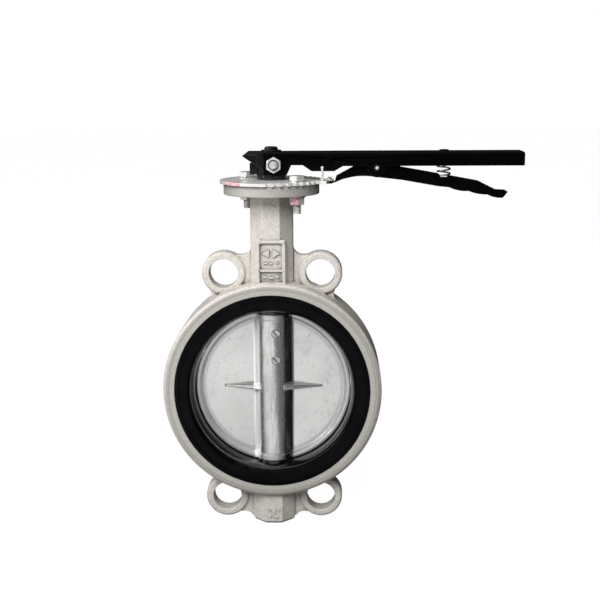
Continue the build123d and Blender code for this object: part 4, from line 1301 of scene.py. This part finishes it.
@dataclass
class HandLever:
    """The lever on its cast hub, with its lock nut, top screw and rivets.

    Attributes:
        wardrobe: gives the finishes.
        fastener: the kind of screw.
        clamp: place of the grub screw along the lever.
        key: radius of the hexagon socket in the grub screw.
    """

    wardrobe: Wardrobe
    fastener: Fastener
    clamp: float = 3.0 * MM
    key: float = 2.6 * MM

    def build(self) -> None:
        """Builds the lever and everything that it carries."""
        self.wardrobe.refine("lever", Slot.BLACK_GLOSS, 0.45, 2, 30.0)
        self.wardrobe.refine("lever_hub", Slot.BLACK_CAST, 0.7, 3, 30.0)
        for node, slot, width in (
            ("top_washer", Slot.BLACK_CAST, 0.2), ("top_screw", Slot.BLACK_CAST, 0.2),
            ("spring_rivet", Slot.BLACK_GLOSS, 0.25), ("spacer_rivet", Slot.BLACK_GLOSS, 0.2),
            ("trigger_pin", Slot.BRIGHT_PIN, 0.25),
        ):
            self.wardrobe.refine(node, slot, width)
        self.build_clamp()

    def build_clamp(self) -> None:
        """Builds the grub screw with its hexagon socket, and its lock nut."""
        low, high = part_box("lock_nut")
        thick = high.y - low.y
        height = (low.z + high.z) / 2
        nut = self.fastener.hexagon("lock_nut_finished", thick, True)
        Bench.clear()
        bpy.ops.mesh.primitive_cone_add(
            vertices=48, radius1=self.fastener.thread - 0.3 * MM, radius2=self.fastener.thread + 1.3 * MM,
            depth=1.6 * MM, location=(0.0, 0.0, thick - 0.75 * MM),
        )
        Bench.combine(nut, Bench.made("countersink"), "DIFFERENCE")
        Bench.settle(nut, rotation_euler=Axis.FRONT.value, location=(self.clamp, high.y, height))
        self.wardrobe.dress_piece(nut, "lock_nut", Slot.ZINC_SCREW, 25.0)
        low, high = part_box("clamp_screw")
        rod = self.fastener.rod("clamp_screw_finished", high.y - low.y)
        Bench.settle(rod, rotation_euler=(-QUARTER, 0.0, 0.0), location=(self.clamp, high.y, height))
        socket = Bench.cylinder("socket", self.key, 8.0 * MM, (self.clamp, low.y, height), Axis.FRONT, 6)
        Bench.combine(rod, socket, "DIFFERENCE")
        self.wardrobe.dress_piece(rod, "clamp_screw", Slot.ZINC_SCREW, 25.0)


@dataclass
class LatchTrigger:
    """The squeeze trigger with its latch tooth and the coil that pushes it down.

    Attributes:
        wardrobe: gives the finishes.
        wire: radius of the spring's wire.
        turns: turns of the spring.
        start: where the wire starts round the spring, in degrees.
        kept: share of the spring's length that is left when the trigger is squeezed; not used.
    """

    wardrobe: Wardrobe
    wire: float = 0.8 * MM
    turns: float = 4.6
    start: float = 150.0
    kept: float = 0.56

    def build(self) -> None:
        """Builds the trigger, its tooth and its spring."""
        self.wardrobe.refine("trigger", Slot.BLACK_GLOSS, 0.0)
        self.wardrobe.refine("latch_tooth", Slot.ZINC_PLATE, 0.3)
        self.wardrobe.refine("latch_rivet", Slot.ZINC_PLATE, 0.25)
        self.build_spring()

    def build_spring(self) -> None:
        """Winds the return spring."""
        low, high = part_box("return_spring")
        centre = (low + high) / 2
        radius = (high.x - low.x) / 2 - self.wire
        pitch = (high.z - low.z - 2 * self.wire) / self.turns
        coil = Bench.coil("return_spring_finished", self.wire, radius, pitch, self.turns, 14, 36)
        foot = (centre.x, centre.y, low.z + self.wire)
        Bench.settle(coil, rotation_euler=(0.0, 0.0, math.radians(self.start)), location=foot)
        self.wardrobe.dress_piece(coil, "return_spring", Slot.SPRING_STEEL, 60.0)
        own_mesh(coil)


@dataclass
class Studio:
    """Pale floor, soft light and the camera.

    Attributes:
        floor_level: height of the floor.
        card_edge: where the floor's pale part ends to the right.
        card_glow: how bright the pale part looks in reflections.
        lens: focal length of the camera, in millimetres.
        camera_at: place of the camera.
        camera_turns: the camera's turns about Z, X and its own axis, in degrees.
    """

    floor_level: float = -135.1 * MM
    card_edge: float = 0.08
    card_glow: float = 0.66
    lens: float = 68.196
    camera_at: Point = (0.05934, -1.0673, 0.29215)
    camera_turns: Point = (1.78, 78.95, -0.35)

    def build(self) -> None:
        """Builds the floor, the lights and the camera."""
        self.build_floor()
        self.build_world()
        key = (-0.32, -1.25, 1.05), (0.0, 0.0, 0.05), (1.2, 0.8)
        self.lamp("key", *key, 26.5, mirrored=False)
        self.lamp("key shine", *key, 15.0)
        self.lamp("left window", (-1.30, -0.70, 0.05), (0.0, 0.0, 0.02), (0.12, 0.9), 0.3)
        self.lamp("left glint", (-0.90, -0.50, 0.45), (0.0, 0.0, 0.15), (0.05, 0.5), 1.6, diffuse=False)
        self.lamp("top strip", (0.1, 0.75, 1.0), (0.05, 0.0, 0.1), (1.1, 0.3), 0.3)
        self.build_camera()
        bpy.context.scene.view_settings.view_transform = "Standard"
        bpy.context.scene.view_settings.look = "None"

    def build_floor(self) -> None:
        """Lays a pale floor under the bottom boss, half dark in reflections."""
        Bench.clear()
        bpy.ops.mesh.primitive_plane_add(size=12.0, location=(0.0, 3.0, self.floor_level))
        floor = Bench.made("studio_floor")
        material = bpy.data.materials.new("pale floor")
        material.use_nodes = True
        sheet = Sheet(material.node_tree)
        x, y, _ = sheet.split(sheet.add("TexCoord").outputs["Object"])
        card = sheet.ramp(x, self.card_edge, self.card_edge + 0.12, self.card_glow, 0.02)
        card = sheet.times(card, sheet.ramp(y, -3.22, -3.12, 1.0, 0.15))
        seen = sheet.add("LightPath").outputs["Is Camera Ray"]
        glow = sheet.add("MapRange", {"Value": seen, "To Min": card, "To Max": 0.97}).outputs["Result"]
        shader = material.node_tree.nodes["Principled BSDF"].inputs
        for key, value in {
            "Base Color": (0.08, 0.08, 0.08, 1.0), "Roughness": 0.9, "Specular IOR Level": 0.0,
            "Emission Color": (1.0, 1.0, 1.0, 1.0), "Emission Strength": glow,
        }.items():
            sheet.feed(shader[key], value)
        floor.data.materials.append(material)

    def build_world(self) -> None:
        """Surrounds the valve with white, darker to the right and below for everything but the view."""
        world = bpy.data.worlds.new("studio")
        world.use_nodes = True
        bpy.context.scene.world = world
        sheet = Sheet(world.node_tree)
        x, y, z = sheet.split(sheet.add("TexCoord").outputs["Generated"])
        across = sheet.ramp(x, -0.4, 0.6, 1.0, 0.03)
        upward = sheet.ramp(z, -0.4, 0.5, 0.35, 1.0)
        ahead = sheet.ramp(y, -0.96, -0.6, 0.35, 1.0)
        level = sheet.ramp(sheet.size(z), 0.25, 0.6)
        behind = sheet.ramp(y, 0.45, 0.9, 1.0, 0.03)
        around = sheet.times(sheet.most(ahead, level), behind)
        back = world.node_tree.nodes["Background"]
        back.inputs["Color"].default_value = (1.0, 0.985, 0.965, 1.0)
        glow = sheet.times(sheet.times(sheet.times(across, upward), around), 0.62)
        sheet.feed(back.inputs["Strength"], glow)
        white = sheet.add("Background", {"Color": (1.0, 1.0, 1.0, 1.0), "Strength": 1.0}).outputs[0]
        seen = sheet.add("LightPath").outputs["Is Camera Ray"]
        choice = sheet.add("MixShader", {0: seen, 1: back.outputs[0], 2: white}).outputs[0]
        sheet.feed(world.node_tree.nodes["World Output"].inputs["Surface"], choice)

    def lamp(
        self, name: str, place: Point, target: Point, size: tuple[float, float], power: float,
        mirrored: bool = True, diffuse: bool = True,
    ) -> None:
        """Adds a soft rectangular lamp.

        Args:
            name: name of the lamp.
            place: where it hangs.
            target: what it points at.
            size: its width and height.
            power: its power, in watts.
            mirrored: whether it shows in reflections.
            diffuse: whether it lights dull surfaces.
        """
        Bench.clear()
        bpy.ops.object.light_add(type="AREA", location=place)
        lamp = Bench.made(name)
        lamp.data.shape = "RECTANGLE"
        lamp.data.size, lamp.data.size_y = size
        lamp.data.energy = power
        lamp.visible_glossy = mirrored
        lamp.visible_diffuse = diffuse
        aim = Vector(target) - Vector(place)
        lamp.rotation_euler = aim.to_track_quat("-Z", "Y").to_euler()

    def build_camera(self) -> None:
        """Adds the camera at the height of the lever, a little to its right."""
        Bench.clear()
        bpy.ops.object.camera_add()
        camera = Bench.made("camera")
        camera.data.sensor_width = 36.0
        camera.data.lens = self.lens
        place = Matrix.Translation(self.camera_at)
        for turn, axis in zip(self.camera_turns, "ZXZ"):
            place = place @ Matrix.Rotation(math.radians(turn), 4, axis)
        camera.matrix_world = place
        bpy.context.scene.camera = camera


def main() -> None:
    """Builds the whole scene in order."""
    logging.basicConfig(level=logging.INFO, format="%(name)s: %(message)s")
    for leftover in list(bpy.data.objects):
        bpy.data.objects.remove(leftover)
    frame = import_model()
    Bench.clear()
    Groups.build()
    wardrobe = Wardrobe(frame)
    fastener = Fastener()
    PipeBody(wardrobe).build()
    DiscAssembly(wardrobe).build()
    TopFlange(wardrobe, fastener).build()
    HandLever(wardrobe, fastener).build()
    LatchTrigger(wardrobe).build()
    Studio().build()


if __name__ == "__main__":
    main()
